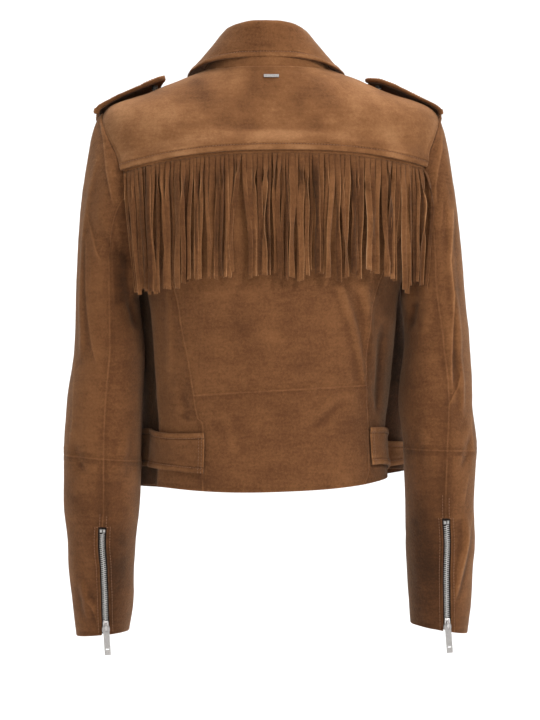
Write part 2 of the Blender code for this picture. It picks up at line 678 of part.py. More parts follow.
def collar_grid(columns, along):
    """Points at each of along (0 the neck seam, 2 the stand's top, 6 the edge) and each column of a."""
    made = [Smooth([(i, *p) for i, p in enumerate(collar_profile(a))], level=False)(along) for a in columns]
    return np.array(made).swapaxes(0, 1)


COLLAR_ALONG = np.array([0, 0.7, 1.4, 2, 2.5, 3, 3.4, 4, 4.7, 5.4, 6])
STAND_ROWS = 3
face = collar_grid(np.linspace(-COLLAR[-1][0], COLLAR[-1][0], 21), COLLAR_ALONG)
out = grid_normals(face)
out = out * np.sign(out[0, 10, 1])
for name, part in (("collar_stand", slice(0, STAND_ROWS + 1)), ("collar", slice(STAND_ROWS, None))):
    wall(name, pull_in(face[part], EDGES), pull_in(face[part] - out[part] * WALL, EDGES), SUEDE_LIGHT)


# ---- solids made of cells ----
def cells(name, axes, filled, place, colour=NICKEL, metallic=1.0):
    """One solid from the filled boxes of a lattice. place turns local metres into the frame's."""
    index, points, faces = {}, [], []

    def corner(i, j, k):
        if (i, j, k) not in index:
            index[(i, j, k)] = len(points)
            points.append(place(np.array([axes[0][i], axes[1][j], axes[2][k]])))
        return index[(i, j, k)]

    counts = [len(axis) - 1 for axis in axes]
    sides = (
        ((-1, 0, 0), ((0, 0, 0), (0, 0, 1), (0, 1, 1), (0, 1, 0))),
        ((1, 0, 0), ((1, 0, 0), (1, 1, 0), (1, 1, 1), (1, 0, 1))),
        ((0, -1, 0), ((0, 0, 0), (1, 0, 0), (1, 0, 1), (0, 0, 1))),
        ((0, 1, 0), ((0, 1, 0), (0, 1, 1), (1, 1, 1), (1, 1, 0))),
        ((0, 0, -1), ((0, 0, 0), (0, 1, 0), (1, 1, 0), (1, 0, 0))),
        ((0, 0, 1), ((0, 0, 1), (1, 0, 1), (1, 1, 1), (0, 1, 1))),
    )

    def is_filled(i, j, k):
        inside = all(0 <= n < count for n, count in zip((i, j, k), counts))
        return inside and filled(i, j, k)

    for i in range(counts[0]):
        for j in range(counts[1]):
            for k in range(counts[2]):
                if not filled(i, j, k):
                    continue
                for (di, dj, dk), quad in sides:
                    if not is_filled(i + di, j + dj, k + dk):
                        faces.append([corner(i + a, j + b, k + c) for a, b, c in quad])
    return add(name, points, faces, colour, metallic)


def frame(origin, across, along, out):
    def place(p):
        return origin + across * p[0] + along * p[1] + out * p[2]

    return place


def level_frame(down, out):
    """Axes with out kept exactly, down made square to it."""
    out = unit(out)
    down = unit(down - out * np.dot(down, out))
    return np.cross(down, out), down, out


a, v = find([BAR_PLATE_AT])[0]
across, down, out = level_frame(np.array([0.0, 0.0, -1.0]), torso_normals(a, v))
half = np.array(BAR_PLATE) / 2
cells(
    "bar_plate",
    ([-half[0], half[0]], [-half[1], half[1]], [0.0, BAR_PLATE[2]]),
    lambda i, j, k: True,
    frame(torso(a, v) + out * 0.0004, across, down, out),
)

# ---- zips ----
ARCH_WIDE, ARCH_FOOT, ARCH_BAR, ARCH_GAP, ARCH_TOP = 0.0030, 0.0041, 0.0015, 0.0022, 0.0012
PULL_HOLE = (0.0034, 0.0007, 0.0064)
PULL_SLOT = (0.0040, 0.0262, 0.0277)


def zip_hardware(prefix, origin, down, out, hang):
    """A slider on the ridge at origin, and the pull that hangs from its arch."""
    across, down, out = level_frame(down, out)
    wide, long, tall = SLIDER
    arch = tall + ARCH_GAP
    cells(
        prefix + "_slider",
        (
            [-wide / 2, -ARCH_WIDE / 2, ARCH_WIDE / 2, wide / 2],
            [-long / 2, -ARCH_FOOT, -ARCH_FOOT + ARCH_BAR, ARCH_FOOT - ARCH_BAR, ARCH_FOOT, long / 2],
            [0.0, tall, arch, arch + ARCH_TOP],
        ),
        lambda i, j, k: k == 0 or (i == 1 and (j in (1, 3) if k == 1 else j in (1, 2, 3))),
        frame(origin, across, down, out),
    )
    wide, long, thick = PULL
    hinge = origin + out * (tall + ARCH_GAP / 2)
    hang = unit(hang - across * np.dot(hang, across))
    face = np.cross(across, hang)
    face = face if np.dot(face, out) > 0 else -face
    cells(
        prefix + "_pull",
        (
            [-wide / 2, -PULL_SLOT[0] / 2, -PULL_HOLE[0] / 2, PULL_HOLE[0] / 2, PULL_SLOT[0] / 2, wide / 2],
            [-0.0007, PULL_HOLE[1], PULL_HOLE[2], PULL_SLOT[1], PULL_SLOT[2], long],
            [-thick / 2, thick / 2],
        ),
        lambda i, j, k: not ((j == 1 and i == 2) or (j == 3 and i in (1, 2, 3))),
        frame(hinge, across, hang, face),
    )
    return hinge, across


hinges = {}
for side in (-1, 1):
    name = "cuff_zip_" + side_name(side)
    rows = np.array([ZIP_TOP_W - 0.04, ZIP_TOP_W + 0.13, ZIP_TOP_W + 0.16, *CUFF_ROWS[6:-1], 8.97])[:, None]
    teeth = ZIP_TEETH / 2
    reach = np.array([-ZIP_TAPE_HALF, -teeth - 1e-4, -teeth, teeth, teeth + 1e-4, ZIP_TAPE_HALF])
    k = BACK_SEAM + np.where(
        reach < 0, reach / column_width(side, rows, False), reach / column_width(side, rows, True)
    )
    w = np.broadcast_to(rows, k.shape)
    surface, out = sleeve(side, k, w), sleeve_normals(side, k, w)
    height = np.tile(np.array(ZIP_HEIGHTS), (len(rows), 1))
    height[:2] = -0.0036
    deep = np.minimum(height, -0.0022)[..., None] - 0.0008
    wall(name, surface + out * height[..., None], surface + out * deep, (0.05, 0.04, 0.035))
    at = sleeve(side, BACK_SEAM, 8.72)
    out = sleeve_normals(side, np.array(BACK_SEAM), np.array(8.72))
    down = sleeve(side, BACK_SEAM, 8.9) - sleeve(side, BACK_SEAM, 8.55)
    hinges[name] = zip_hardware(name, at - out * 0.0002, down, out, np.array([0.0, 0.0, -1.0]))


# ---- epaulettes ----
EPAULETTE_COLUMNS = ("x", "z", "half_width", "drop")  # the drop is the front edge's
EPAULETTES = {
    -1: (
        (-0.2055, -0.0585, 0.0185, 0.0080), (-0.2040, -0.0528, 0.0195, 0.0080), (-0.1970, -0.0465, 0.0200, 0.0075),
        (-0.1764, -0.0348, 0.0200, 0.0050), (-0.1500, -0.0238, 0.0195, 0.0070), (-0.1320, -0.0163, 0.0185, 0.0080),
        (-0.1260, -0.0142, 0.0120, 0.0060), (-0.1236, -0.0134, 0.0050, 0.0050),
    ),
    1: (
        (0.2085, -0.0582, 0.0185, 0.0080), (0.2070, -0.0525, 0.0195, 0.0080), (0.1990, -0.0455, 0.0200, 0.0055),
        (0.1750, -0.0340, 0.0200, 0.0040), (0.1480, -0.0215, 0.0195, 0.0078), (0.1290, -0.0160, 0.0185, 0.0070),
        (0.1200, -0.0155, 0.0120, 0.0026), (0.1171, -0.0163, 0.0050, 0.0020),
    ),
}
EPAULETTE_THICK = 0.0040
EPAULETTE_Y = {-1: -0.0050, 1: 0.0050}
for side in (-1, 1):
    across = np.linspace(-1, 1, 5)
    grid = np.array([
        [
            (real_x(x, 0.0), EPAULETTE_Y[side] + half * c, real_z(z, 0.0) - (0.0012 if c < 0 else drop) * abs(c) ** 1.5)
            for c in across
        ]
        for x, z, half, drop in EPAULETTES[side]
    ])
    out = grid_normals(grid)
    out = out * np.sign(out[4, 2, 2])
    wall("epaulette_" + side_name(side), grid, grid - out * EPAULETTE_THICK, SUEDE_LIGHT)


def tree_of(names):
    """One tree of these pieces' faces, for finding where something rests."""
    points, faces = [], []
    for name in names:
        mesh = bpy.data.objects[name].data
        first = len(points)
        points += [v.co.copy() for v in mesh.vertices]
        faces += [[first + i for i in polygon.vertices] for polygon in mesh.polygons]
    return BVHTree.FromPolygons(points, faces)


def hit(tree, start, direction):
    place = tree.ray_cast(Vector(start), Vector(direction))[0]
    return None if place is None else np.array(place)


def drum(name, foot, top, radius, sides=12, colour=NICKEL, metallic=1.0):
    """A short round post from foot to top."""
    axis = unit(top - foot)
    first = unit(np.cross(axis, [0.0, 1.0, 0.0]))
    second = np.cross(axis, first)
    angles = [2 * math.pi * i / sides for i in range(sides)]
    points = [end + (first * math.cos(t) + second * math.sin(t)) * radius for end in (foot, top) for t in angles]
    faces = [(i, (i + 1) % sides, sides + (i + 1) % sides, sides + i) for i in range(sides)]
    faces += [tuple(range(sides))[::-1], tuple(range(sides, 2 * sides))]
    return add(name, points, faces, colour, metallic)


SNAP_RADIUS = 0.0036
for side in (-1, 1):
    strap = tree_of(["epaulette_" + side_name(side)])
    body = tree_of(["yoke", "front_" + side_name(side)])
    x, y = real_x(EPAULETTES[side][5][0] + side * 0.004, 0.0), EPAULETTE_Y[side]
    top = hit(strap, (x, y, -0.08), (0, 0, 1))
    foot = hit(body, (x, y, 0.1), (0, 0, -1))
    lean = unit(top - foot)
    drum("epaulette_snap_" + side_name(side), foot + lean * 0.0018, top - lean * 0.0020, SNAP_RADIUS)


# ---- belts ----
BELT_COLUMNS = ("a", "bottom_v", "top_v")
BELTS = {
    -1: (
        (-0.2165, 0.30, 1.05), (-0.260, 0.31, 1.05), (-0.300, 0.32, 1.06), (-0.350, 0.33, 1.07), (-0.400, 0.34, 1.10),
        (-0.450, 0.35, 1.13), (-0.500, 0.36, 1.17), (-0.550, 0.37, 1.20), (-0.600, 0.38, 1.21), (-0.650, 0.39, 1.16),
        (-0.700, 0.40, 1.09),
    ),
    1: (
        (0.270, 0.33, 1.05), (0.310, 0.32, 1.05), (0.350, 0.30, 1.05), (0.390, 0.27, 1.04), (0.430, 0.24, 1.01),
        (0.470, 0.26, 0.93), (0.510, 0.29, 0.86), (0.560, 0.34, 0.81), (0.610, 0.40, 0.80), (0.660, 0.44, 0.80),
        (0.710, 0.46, 0.80), (0.745, 0.48, 0.79), (0.760, 0.55, 0.72),
    ),
}
BELT_CLEAR = 0.0021


def over_torso(a, v, clear):
    """The torso's surface with its hollows bridged, lifted clear of it."""
    bridge = np.maximum(-folds(TORSO_FOLDS, a, v), 0)
    return torso(a, v, bridge + clear)


def lift(points, out, tree, clear):
    """The points moved out until each, and the ones beside it, are clear of the tree."""
    height = np.full(points.shape[:2], -1.0)
    for i in np.ndindex(points.shape[:2]):
        found = hit(tree, points[i] + out[i] * 0.04, -out[i])
        if found is not None:
            height[i] = np.dot(found - points[i], out[i])
    beside = height.copy()
    beside[:, 1:] = np.maximum(beside[:, 1:], height[:, :-1])
    beside[:, :-1] = np.maximum(beside[:, :-1], height[:, 1:])
    return points + out * np.maximum(0.0, beside + clear)[..., None]


panels = tree_of(["front_left", "front_right", "back_side_left", "back_side_right", "back_lower_center"])
for side in (-1, 1):
    a = np.linspace(BELTS[side][0][0], BELTS[side][-1][0], 26)
    bottom, top = np.moveaxis(Smooth(BELTS[side][::side])(a), -1, 0)
    v = bottom + (top - bottom) * np.array([0.0, 0.5, 1.0])[:, None]
    a = np.broadcast_to(a[None, :], v.shape)
    out = torso_normals(a, v)
    inner = lift(over_torso(a, v, 0.0), out, panels, BELT_CLEAR)
    wall("belt_" + side_name(side), inner + out * WALL, inner)


BUCKLE = (0.0340, 0.0600, 0.0030, 0.0040)
a, v = -0.700, 0.745
out = torso_normals(a, v)
along = unit(torso(a - 0.02, v) - torso(a, v))
up = unit(np.cross(out, along))
up = up if up[2] > 0 else -up
along = unit(along - out * np.dot(along, out))
long, tall, thick, bar = BUCKLE
origin = over_torso(np.array(a), np.array(v), 0.0012) + along * (long / 2 + 0.0020) + out * 0.0006
cells(
    "buckle",
    (
        [-long / 2, -long / 2 + bar, long / 2 - bar, long / 2],
        [-tall / 2, -tall / 2 + bar, tall / 2 - bar, tall / 2],
        [0.0, thick],
    ),
    lambda i, j, k: not (i == 1 and j == 1),
    frame(origin, along, up, out),
)

# ---- front zips, beyond the front edges ----
FRONT_ZIP_COLUMNS = ("beyond_edge", "outer", "inner")
FRONT_ZIP = (
    (0.0003, -0.0004, -0.0014), (0.0040, -0.0004, -0.0014), (0.0041, 0.0008, -0.0026), (0.0074, 0.0008, -0.0026),
)
ARC_PER_A = 0.43  # length round the front of one unit of a, near the edge
for side in (-1, 1):
    v = np.array([0.04, *[v for v in FRONT_ROWS if 0 < v < 7]])[:, None]
    beyond = np.array([row[0] for row in FRONT_ZIP])[None, :]
    a = side * (front_edge(v)[..., 0] + beyond / ARC_PER_A)
    v = np.broadcast_to(v, a.shape)
    surface, out = torso(a, v), torso_normals(a, v)
    outer = surface + out * np.array([row[1] for row in FRONT_ZIP])[None, :, None]
    inner = surface + out * np.array([row[2] for row in FRONT_ZIP])[None, :, None]
    wall("front_zip_" + side_name(side), outer, inner, (0.05, 0.04, 0.035))

# ---- fringe ----
FRINGE_COLUMNS = ("x", "z")
FRINGE_TIPS = (
    (-0.1580, -0.2740), (-0.1480, -0.2710), (-0.1325, -0.2700), (-0.1160, -0.2665), (-0.0975, -0.2630),
    (-0.0820, -0.2580), (-0.0680, -0.2560), (-0.0410, -0.2550), (-0.0230, -0.2550), (0.0105, -0.2535),
    (0.0370, -0.2570), (0.0530, -0.2510), (0.0700, -0.2530), (0.0900, -0.2545), (0.1250, -0.2530),
    (0.1500, -0.2570), (0.1650, -0.2700), (0.1770, -0.2600), (0.1865, -0.2665),
)
FRINGE_ROWS = 4
FRINGE_GAP_AT, FRINGE_GAP = -0.0320, 0.0065  # where the strands part, and by how much each way


def fringe():
    """A strip under the yoke's edge, and the strands that hang from it, as one body."""
    behind = tree_of([
        "back_upper_center", "back_side_left", "back_side_right", "sleeve_top_upper_left",
        "sleeve_top_upper_right", "sleeve_under_upper_left", "sleeve_under_upper_right",
    ])
    edge_v = hole_v[6]
    ends = armhole_rows[-1][6][1] + 0.007, armhole_rows[1][6][1] - 0.007
    samples = np.linspace(*ends, 200)
    line = torso(samples, edge_v)
    arc = np.concatenate([[0], np.cumsum(np.linalg.norm(np.diff(line, axis=0), axis=1))])
    pitch = arc[-1] / FRINGE_COUNT
    tips = Smooth(FRINGE_TIPS)
    points, faces = [], []

    def strip_point(distance, level):
        a = np.interp(distance, arc, samples)
        v = edge_v + (0.035 if level == 0 else 0.0)
        at, out = torso(a, v), torso_normals(a, v)
        drop = np.array([0.0, 0.0, -(FRINGE_STRIP if level == 2 else 0.0)])
        at = at + drop
        if level == 2:
            at[1] = min(at[1], rest(at[0], at[2]))
        return at + out * 0.0005, at + out * (0.0005 + FRINGE_THICK)

    def rest(x, z):
        found = hit(behind, (x, -0.5, z), (0, 1, 0))
        return 1.0 if found is None else found[1]

    cuts = []
    for i in range(FRINGE_COUNT):
        middle = (i + 0.5) * pitch
        cuts += [middle - FRINGE_WIDTH / 2, middle + FRINGE_WIDTH / 2]
    for level in range(3):
        for distance in cuts:
            points += strip_point(distance, level)
    across = len(cuts)

    def at(level, cut, layer):
        return (level * across + cut) * 2 + layer

    for c in range(across - 1):
        for level in range(2):
            for layer in (0, 1):
                above = level + 1
                quad = (at(level, c, layer), at(level, c + 1, layer), at(above, c + 1, layer), at(above, c, layer))
                faces.append(quad if layer else quad[::-1])
        faces.append((at(0, c, 0), at(0, c + 1, 0), at(0, c + 1, 1), at(0, c, 1)))
        if c % 2:
            faces.append((at(2, c, 0), at(2, c, 1), at(2, c + 1, 1), at(2, c + 1, 0)))
    for level in range(2):
        faces.append((at(level, 0, 0), at(level, 0, 1), at(level + 1, 0, 1), at(level + 1, 0, 0)))
        last = across - 1
        faces.append((at(level, last, 0), at(level + 1, last, 0), at(level + 1, last, 1), at(level, last, 1)))

    noise = np.random.default_rng(5)
    sway = np.convolve(noise.normal(0, 1, FRINGE_COUNT + 4), np.ones(5) / 5, "valid")
    twist = noise.uniform(-50, 50, FRINGE_COUNT)
    length = noise.normal(0, 0.0025, FRINGE_COUNT)
    for i in range(FRINGE_COUNT):
        ring = [at(2, 2 * i, 0), at(2, 2 * i + 1, 0), at(2, 2 * i + 1, 1), at(2, 2 * i, 1)]
        corners = np.array([points[n] for n in ring])
        root = corners.mean(axis=0)
        share = (i + 0.5) / FRINGE_COUNT
        tip_x = FRINGE_TIPS[0][0] + (FRINGE_TIPS[-1][0] - FRINGE_TIPS[0][0]) * share + 0.0012 * sway[i]
        off = tip_x - FRINGE_GAP_AT
        tip_x += math.copysign(FRINGE_GAP, off) * math.exp(-((off / 0.030) ** 2))
        tip_z = tips(tip_x)[0] + length[i]
        layer = 0.0022 * (i % 2)
        lowest = root[1]
        for step in range(1, FRINGE_ROWS + 1):
            t = step / FRINGE_ROWS
            x = root[0] + (tip_x - root[0]) * t**1.4 + 0.0008 * math.sin(5 * t + i)
            z = root[2] + (tip_z - root[2]) * t
            angle = math.radians(twist[i]) * ramp(t)
            reach = FRINGE_WIDTH / 2 * abs(math.sin(angle)) + FRINGE_THICK / 2 + 0.0006
            lowest = min(lowest, rest(x, z) - reach, rest(x - 0.004, z) - reach, rest(x + 0.004, z) - reach)
            centre = np.array([x, lowest - layer * ramp(2 * t), z])
            wide = np.array([math.cos(angle), math.sin(angle), 0.0]) * FRINGE_WIDTH * (1 - 0.12 * t) / 2
            deep = np.array([-math.sin(angle), math.cos(angle), 0.0]) * FRINGE_THICK / 2
            first = len(points)
            points += [centre - wide + deep, centre + wide + deep, centre + wide - deep, centre - wide - deep]
            below = [first, first + 1, first + 2, first + 3]
            for n in range(4):
                m = (n + 1) % 4
                faces.append((ring[n], below[n], below[m], ring[m]))
            ring = below
        faces.append(tuple(ring[::-1]))
    add("fringe", points, faces, SUEDE_DARK)


fringe()
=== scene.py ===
"""Suede biker jacket with a fringed yoke: the looks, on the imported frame. Metres, +Z up, the back faces -Y.

The torso and the sleeves are the surfaces that the solids were made from, laid out finely, with their seams,
stitches, creases and nap. torso(a, v): a goes round the body (0 back, 0.5 right side, 1 front), v goes up it.
sleeve(side, k, w): k goes round the arm (0 underarm, 5 back seam, 9 shoulder), w down it (0 armhole, 9 cuff).
"""

import math

import bpy
import numpy as np
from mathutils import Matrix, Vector
from mathutils.bvhtree import BVHTree


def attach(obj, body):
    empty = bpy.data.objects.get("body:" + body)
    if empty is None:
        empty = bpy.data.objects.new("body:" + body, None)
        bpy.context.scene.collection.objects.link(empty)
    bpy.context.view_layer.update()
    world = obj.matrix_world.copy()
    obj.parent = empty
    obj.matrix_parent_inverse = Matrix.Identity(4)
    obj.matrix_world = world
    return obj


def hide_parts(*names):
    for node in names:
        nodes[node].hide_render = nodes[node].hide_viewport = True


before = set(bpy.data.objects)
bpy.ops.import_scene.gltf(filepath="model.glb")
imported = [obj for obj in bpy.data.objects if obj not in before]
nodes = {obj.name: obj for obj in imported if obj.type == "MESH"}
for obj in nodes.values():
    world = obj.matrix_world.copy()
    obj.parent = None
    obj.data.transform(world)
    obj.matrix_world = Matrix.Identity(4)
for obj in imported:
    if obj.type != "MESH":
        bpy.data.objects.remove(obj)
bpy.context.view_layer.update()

# ---- driving dimensions, as the solids have them ----
WALL = 0.0018
GAP = 0.00004
LAP_RISE = 0.0042
LAP_UNDER = 0.05
FRINGE_COUNT = 66
FRINGE_STRIP = 0.0032
FRINGE_THICK = 0.0012
ZIP_HALF_OPENING = 0.0050
ZIP_TOP_W = {-1: 5.60, 1: 5.38}  # where each cuff's zip starts

K = 18  # columns round a sleeve
BACK_SEAM, SHOULDER, INSEAM = 5, 9, 14
NECK_V, CUFF_W = 9.0, 9.0  # where the torso and the sleeves end; both start at 0

# ---- torso rings ----
# Columns: v, back_z, side_z, front_z, half_width, back, front, square, shift, turn, tilt
SECTIONS = (
    (0.0, -0.5120, -0.4980, -0.5160, 0.1430, 0.0980, 0.1420, 0.90, 0.0010, 12.0, 0.030),
    (1.0, -0.4400, -0.4400, -0.4500, 0.1390, 0.0965, 0.1380, 0.90, 0.0010, 11.5, 0.030),
    (2.0, -0.3905, -0.3905, -0.3950, 0.1420, 0.0985, 0.1380, 0.90, 0.0030, 8.5, 0.056),
    (3.0, -0.3200, -0.3200, -0.3200, 0.1480, 0.1040, 0.1380, 0.90, 0.0050, 6.0, 0.040),
    (4.0, -0.2630, -0.2630, -0.2630, 0.1560, 0.1090, 0.1360, 0.90, 0.0050, 5.5, 0.020),
    (5.0, -0.1900, -0.1900, -0.1900, 0.1880, 0.1130, 0.1300, 0.88, 0.0050, 5.0, 0.000),
    (6.0, -0.0975, -0.1300, -0.1150, 0.2010, 0.1080, 0.1180, 0.86, 0.0050, 4.0, 0.012),
    (7.0, -0.0700, -0.0570, -0.0850, 0.1990, 0.0980, 0.0930, 0.86, 0.0028, 2.0, 0.000),
    (8.0, -0.0320, -0.0320, -0.0560, 0.1400, 0.0840, 0.0800, 0.92, 0.0010, 0.5, 0.000),
    (9.0, 0.0000, -0.0065, -0.0450, 0.0780, 0.0700, 0.0680, 0.96, 0.0000, 0.0, 0.000),
)

# Ridges and valleys: from (v0, a0) to (v1, a1), half width in a, height outwards, length of the fade in v.
# Columns: v0, a0, v1, a1, width, height, fade
TORSO_FOLDS = (
    (-2.0, -0.500, 4.6, -0.500, 0.040, -0.0070, 0.9),
    (-2.0, 0.500, 4.6, 0.500, 0.035, -0.0080, 0.9),
    (-2.0, 0.500, 3.0, 0.500, 0.040, -0.0100, 2.4),
    (-2.0, -0.640, 3.8, -0.605, 0.055, 0.0120, 1.2),
    (0.8, -0.615, 3.3, -0.605, 0.045, 0.0046, 0.7),
    (-2.0, 0.640, 3.6, 0.600, 0.110, 0.0360, 2.2),
    (-1.0, 0.605, 4.2, 0.585, 0.060, 0.0190, 0.9),
    (2.8, -0.602, 4.9, -0.592, 0.052, 0.0116, 0.8),
    (3.3, 0.600, 4.4, 0.575, 0.055, 0.0085, 0.6),
    (1.6, 0.285, 4.2, 0.205, 0.020, 0.0035, 0.5),
    (1.2, 0.330, 3.2, 0.310, 0.022, -0.0040, 0.6),
    (1.3, -0.270, 2.3, -0.285, 0.022, -0.0040, 0.4),
    (2.2, -0.060, 3.6, -0.120, 0.050, -0.0020, 0.6),
)

# ---- seams, laid out at (x, z) as they look from behind ----
EYE_AWAY = 3.5  # from the camera to READ_PLANE
EYE_AT = (0.0024, -0.3530)  # the camera's x and z
READ_PLANE = -0.060  # sizes read from behind are true at this y
PRINCESS_LEFT = (
    (-0.0785, -0.512), (-0.0780, -0.486), (-0.0788, -0.428), (-0.0840, -0.4235), (-0.0890, -0.395),
    (-0.0960, -0.353), (-0.1045, -0.312), (-0.1130, -0.267), (-0.1300, -0.228), (-0.1540, -0.188),
)
PRINCESS_RIGHT = (
    (0.1215, -0.506), (0.1212, -0.486), (0.1205, -0.433), (0.1194, -0.383), (0.1183, -0.353),
    (0.1236, -0.312), (0.1355, -0.256), (0.1500, -0.224), (0.1655, -0.188),
)
# Columns: k, left_a, right_a, v
ARMHOLE = (
    (0, -0.500, 0.500, 4.00),
    (1, -0.468, 0.470, 4.05),
    (2, -0.438, 0.430, 4.22),
    (3, -0.400, 0.372, 4.62),
    (4, -0.3585, 0.324, 5.03),
    (5, -0.340, 0.318, 5.47),
    (6, -0.342, 0.330, 5.94),
    (7, -0.373, 0.362, 6.34),
    (8, -0.412, 0.403, 6.635),
    (9, -0.500, 0.500, 7.00),
    (10, -0.600, 0.597, 6.66),
    (11, -0.640, 0.629, 6.35),
    (12, -0.664, 0.651, 5.97),
    (13, -0.672, 0.655, 5.52),
    (14, -0.662, 0.640, 5.09),
    (15, -0.632, 0.612, 4.68),
    (16, -0.585, 0.570, 4.32),
    (17, -0.540, 0.535, 4.10),
    (18, -0.500, 0.500, 4.00),
)
FRONT_EDGE = (
    (0.0, 0.880), (1.0, 0.876), (2.0, 0.879), (3.0, 0.885), (4.0, 0.892), (5.0, 0.914), (6.0, 0.922), (7.0, 0.908),
    (8.0, 0.866), (9.0, 0.790),
)

# ---- sleeves ----
# Columns: w, z, x, half_width, y, half_depth, seam, rise
RINGS = {
    -1: (
        (1, -0.2810, -0.1920, 0.0380, 0.0000, 0.0600, 84, 0.0000),
        (2, -0.3350, -0.1900, 0.0415, -0.0020, 0.0600, 86, 0.0000),
        (3, -0.4010, -0.1955, 0.0445, -0.0060, 0.0580, 86, -0.0020),
        (4, -0.4700, -0.1990, 0.0470, -0.0080, 0.0580, 85, -0.0040),
        (5, -0.5210, -0.1990, 0.0460, -0.0050, 0.0550, 85, -0.0020),
        (6, -0.5690, -0.1990, 0.0410, 0.0030, 0.0510, 87, 0.0000),
        (7, -0.6050, -0.2000, 0.0390, 0.0100, 0.0480, 83, 0.0000),
        (8, -0.6410, -0.1985, 0.0365, 0.0180, 0.0450, 83, 0.0010),
        (9, -0.6800, -0.1985, 0.0315, 0.0260, 0.0420, 80, 0.0030),
    ),
    1: (
        (1, -0.2810, 0.1985, 0.0385, 0.0000, 0.0600, 92, 0.0000),
        (2, -0.3350, 0.2025, 0.0395, -0.0020, 0.0600, 96, 0.0000),
        (3, -0.4010, 0.2005, 0.0440, -0.0060, 0.0580, 106, 0.0000),
        (4, -0.4600, 0.2063, 0.0435, -0.0080, 0.0570, 96, 0.0010),
        (5, -0.5210, 0.2058, 0.0415, -0.0050, 0.0540, 95, 0.0010),
        (6, -0.5690, 0.2068, 0.0420, 0.0030, 0.0510, 96, 0.0010),
        (7, -0.6050, 0.2057, 0.0392, 0.0100, 0.0480, 97, 0.0020),
        (8, -0.6410, 0.2058, 0.0374, 0.0180, 0.0450, 98, 0.0030),
        (9, -0.6740, 0.2046, 0.0342, 0.0260, 0.0420, 102, 0.0060),
    ),
}
# How the cap leaves the armhole: outwards, backwards and upwards parts, and its pull as a share of its length.
# Columns: k, out, back, up, pull
LEAVE = (
    (0, 0.75, 0.00, -0.65, 0.9),
    (2, 0.75, 0.15, -0.65, 0.7),
    (5, 0.85, 0.15, -0.50, 0.7),
    (7, 0.95, 0.10, -0.20, 0.5),
    (9, 1.00, 0.00, 0.02, 0.28),
    (11, 0.95, -0.10, -0.20, 0.5),
    (14, 0.85, -0.15, -0.50, 0.7),
    (16, 0.75, -0.15, -0.65, 0.7),
    (18, 0.75, 0.00, -0.65, 0.9),
)
LEAVE_TOP = {-1: (1.00, 0.00, 0.02, 0.28), 1: (0.70, 0.00, -0.60, 0.22)}
# Columns: w0, k0, w1, k1, width, height, fade
SLEEVE_FOLDS = {
    -1: (
        (0.05, 5.6, 0.75, 5.2, 0.30, 0.0030, 0.25),
        (0.60, 7.3, 2.40, 7.0, 0.35, 0.0030, 0.50),
        (0.80, 3.0, 1.80, 1.6, 0.60, -0.0040, 0.40),
        (3.30, 3.0, 4.60, 4.2, 0.60, 0.0030, 0.50),
        (3.60, 7.2, 4.50, 6.0, 0.50, -0.0030, 0.40),
        (7.20, 6.6, 8.60, 6.2, 0.35, 0.0030, 0.40),
    ),
    1: (
        (0.20, 5.6, 0.80, 5.4, 0.30, 0.0025, 0.25),
        (0.60, 6.4, 3.40, 6.3, 0.35, 0.0035, 0.50),
        (0.80, 3.0, 1.80, 1.6, 0.60, -0.0040, 0.40),
        (3.40, 3.0, 4.60, 4.2, 0.60, 0.0030, 0.50),
        (5.20, 6.8, 7.20, 6.0, 0.35, 0.0030, 0.40),
        (3.50, 7.4, 4.50, 6.2, 0.50, -0.0030, 0.40),
    ),
}

# ---- collar, right half: where it rolls and where its edge hangs ----
# Columns: a, roll_x, roll_y, roll_z, edge_x, edge_y, edge_z
COLLAR = (
    (0.000, 0.0000, -0.0560, 0.0545, 0.0000, -0.0722, 0.0116),
    (0.125, 0.0205, -0.0530, 0.0535, 0.0360, -0.0682, 0.0108),
    (0.250, 0.0370, -0.0410, 0.0490, 0.0680, -0.0508, 0.0056),
    (0.375, 0.0455, -0.0200, 0.0430, 0.0865, -0.0295, -0.0032),
    (0.500, 0.0480, 0.0020, 0.0370, 0.0925, -0.0020, -0.0085),
    (0.625, 0.0470, 0.0270, 0.0240, 0.0940, 0.0330, -0.0160),
    (0.720, 0.0420, 0.0480, 0.0080, 0.0880, 0.0620, -0.0280),
    (0.790, 0.0370, 0.0640, -0.0080, 0.0800, 0.0840, -0.0420),
)
COLLAR_SHIFT = -0.0030


# ---- curves and surfaces ----
def cubic(s, start, leaves, end, arrives):
    """The curve from start to end, by s from 0 to 1, that leaves and arrives with these directions."""
    return (
        (1 + 2 * s) * (1 - s) ** 2 * start
        + s * (1 - s) ** 2 * leaves
        + s * s * (3 - 2 * s) * end
        - s * s * (1 - s) * arrives
    )


class Smooth:
    """A curve through rows of (t, values...). With level, it never swings past them."""

    def __init__(self, rows, level=True):
        data = np.array(rows, float)
        self.t = data[:, 0]
        self.y = data[:, 1:]
        step = np.diff(self.t)[:, None]
        slope = np.diff(self.y, axis=0) / step
        self.m = np.zeros_like(self.y)
        self.m[0] = slope[0]
        self.m[-1] = slope[-1]
        both = slope[:-1] * slope[1:]
        mean = 2 * both / np.where(np.abs(slope[:-1] + slope[1:]) < 1e-12, 1e-12, slope[:-1] + slope[1:])
        self.m[1:-1] = np.where(both > 0, mean, 0) if level else (slope[:-1] + slope[1:]) / 2

    def __call__(self, t):
        t = np.asarray(t, float)
        i = np.clip(np.searchsorted(self.t, t, side="right") - 1, 0, len(self.t) - 2)
        width = (self.t[i + 1] - self.t[i])[..., None]
        s = np.clip((t - self.t[i])[..., None] / width, 0, 1)
        return cubic(s, self.y[i], width * self.m[i], self.y[i + 1], width * self.m[i + 1])


def ramp(x):
    x = np.clip(x, 0, 1)
    return x * x * (3 - 2 * x)


def power(x, p):
    return np.sign(x) * np.abs(x) ** p


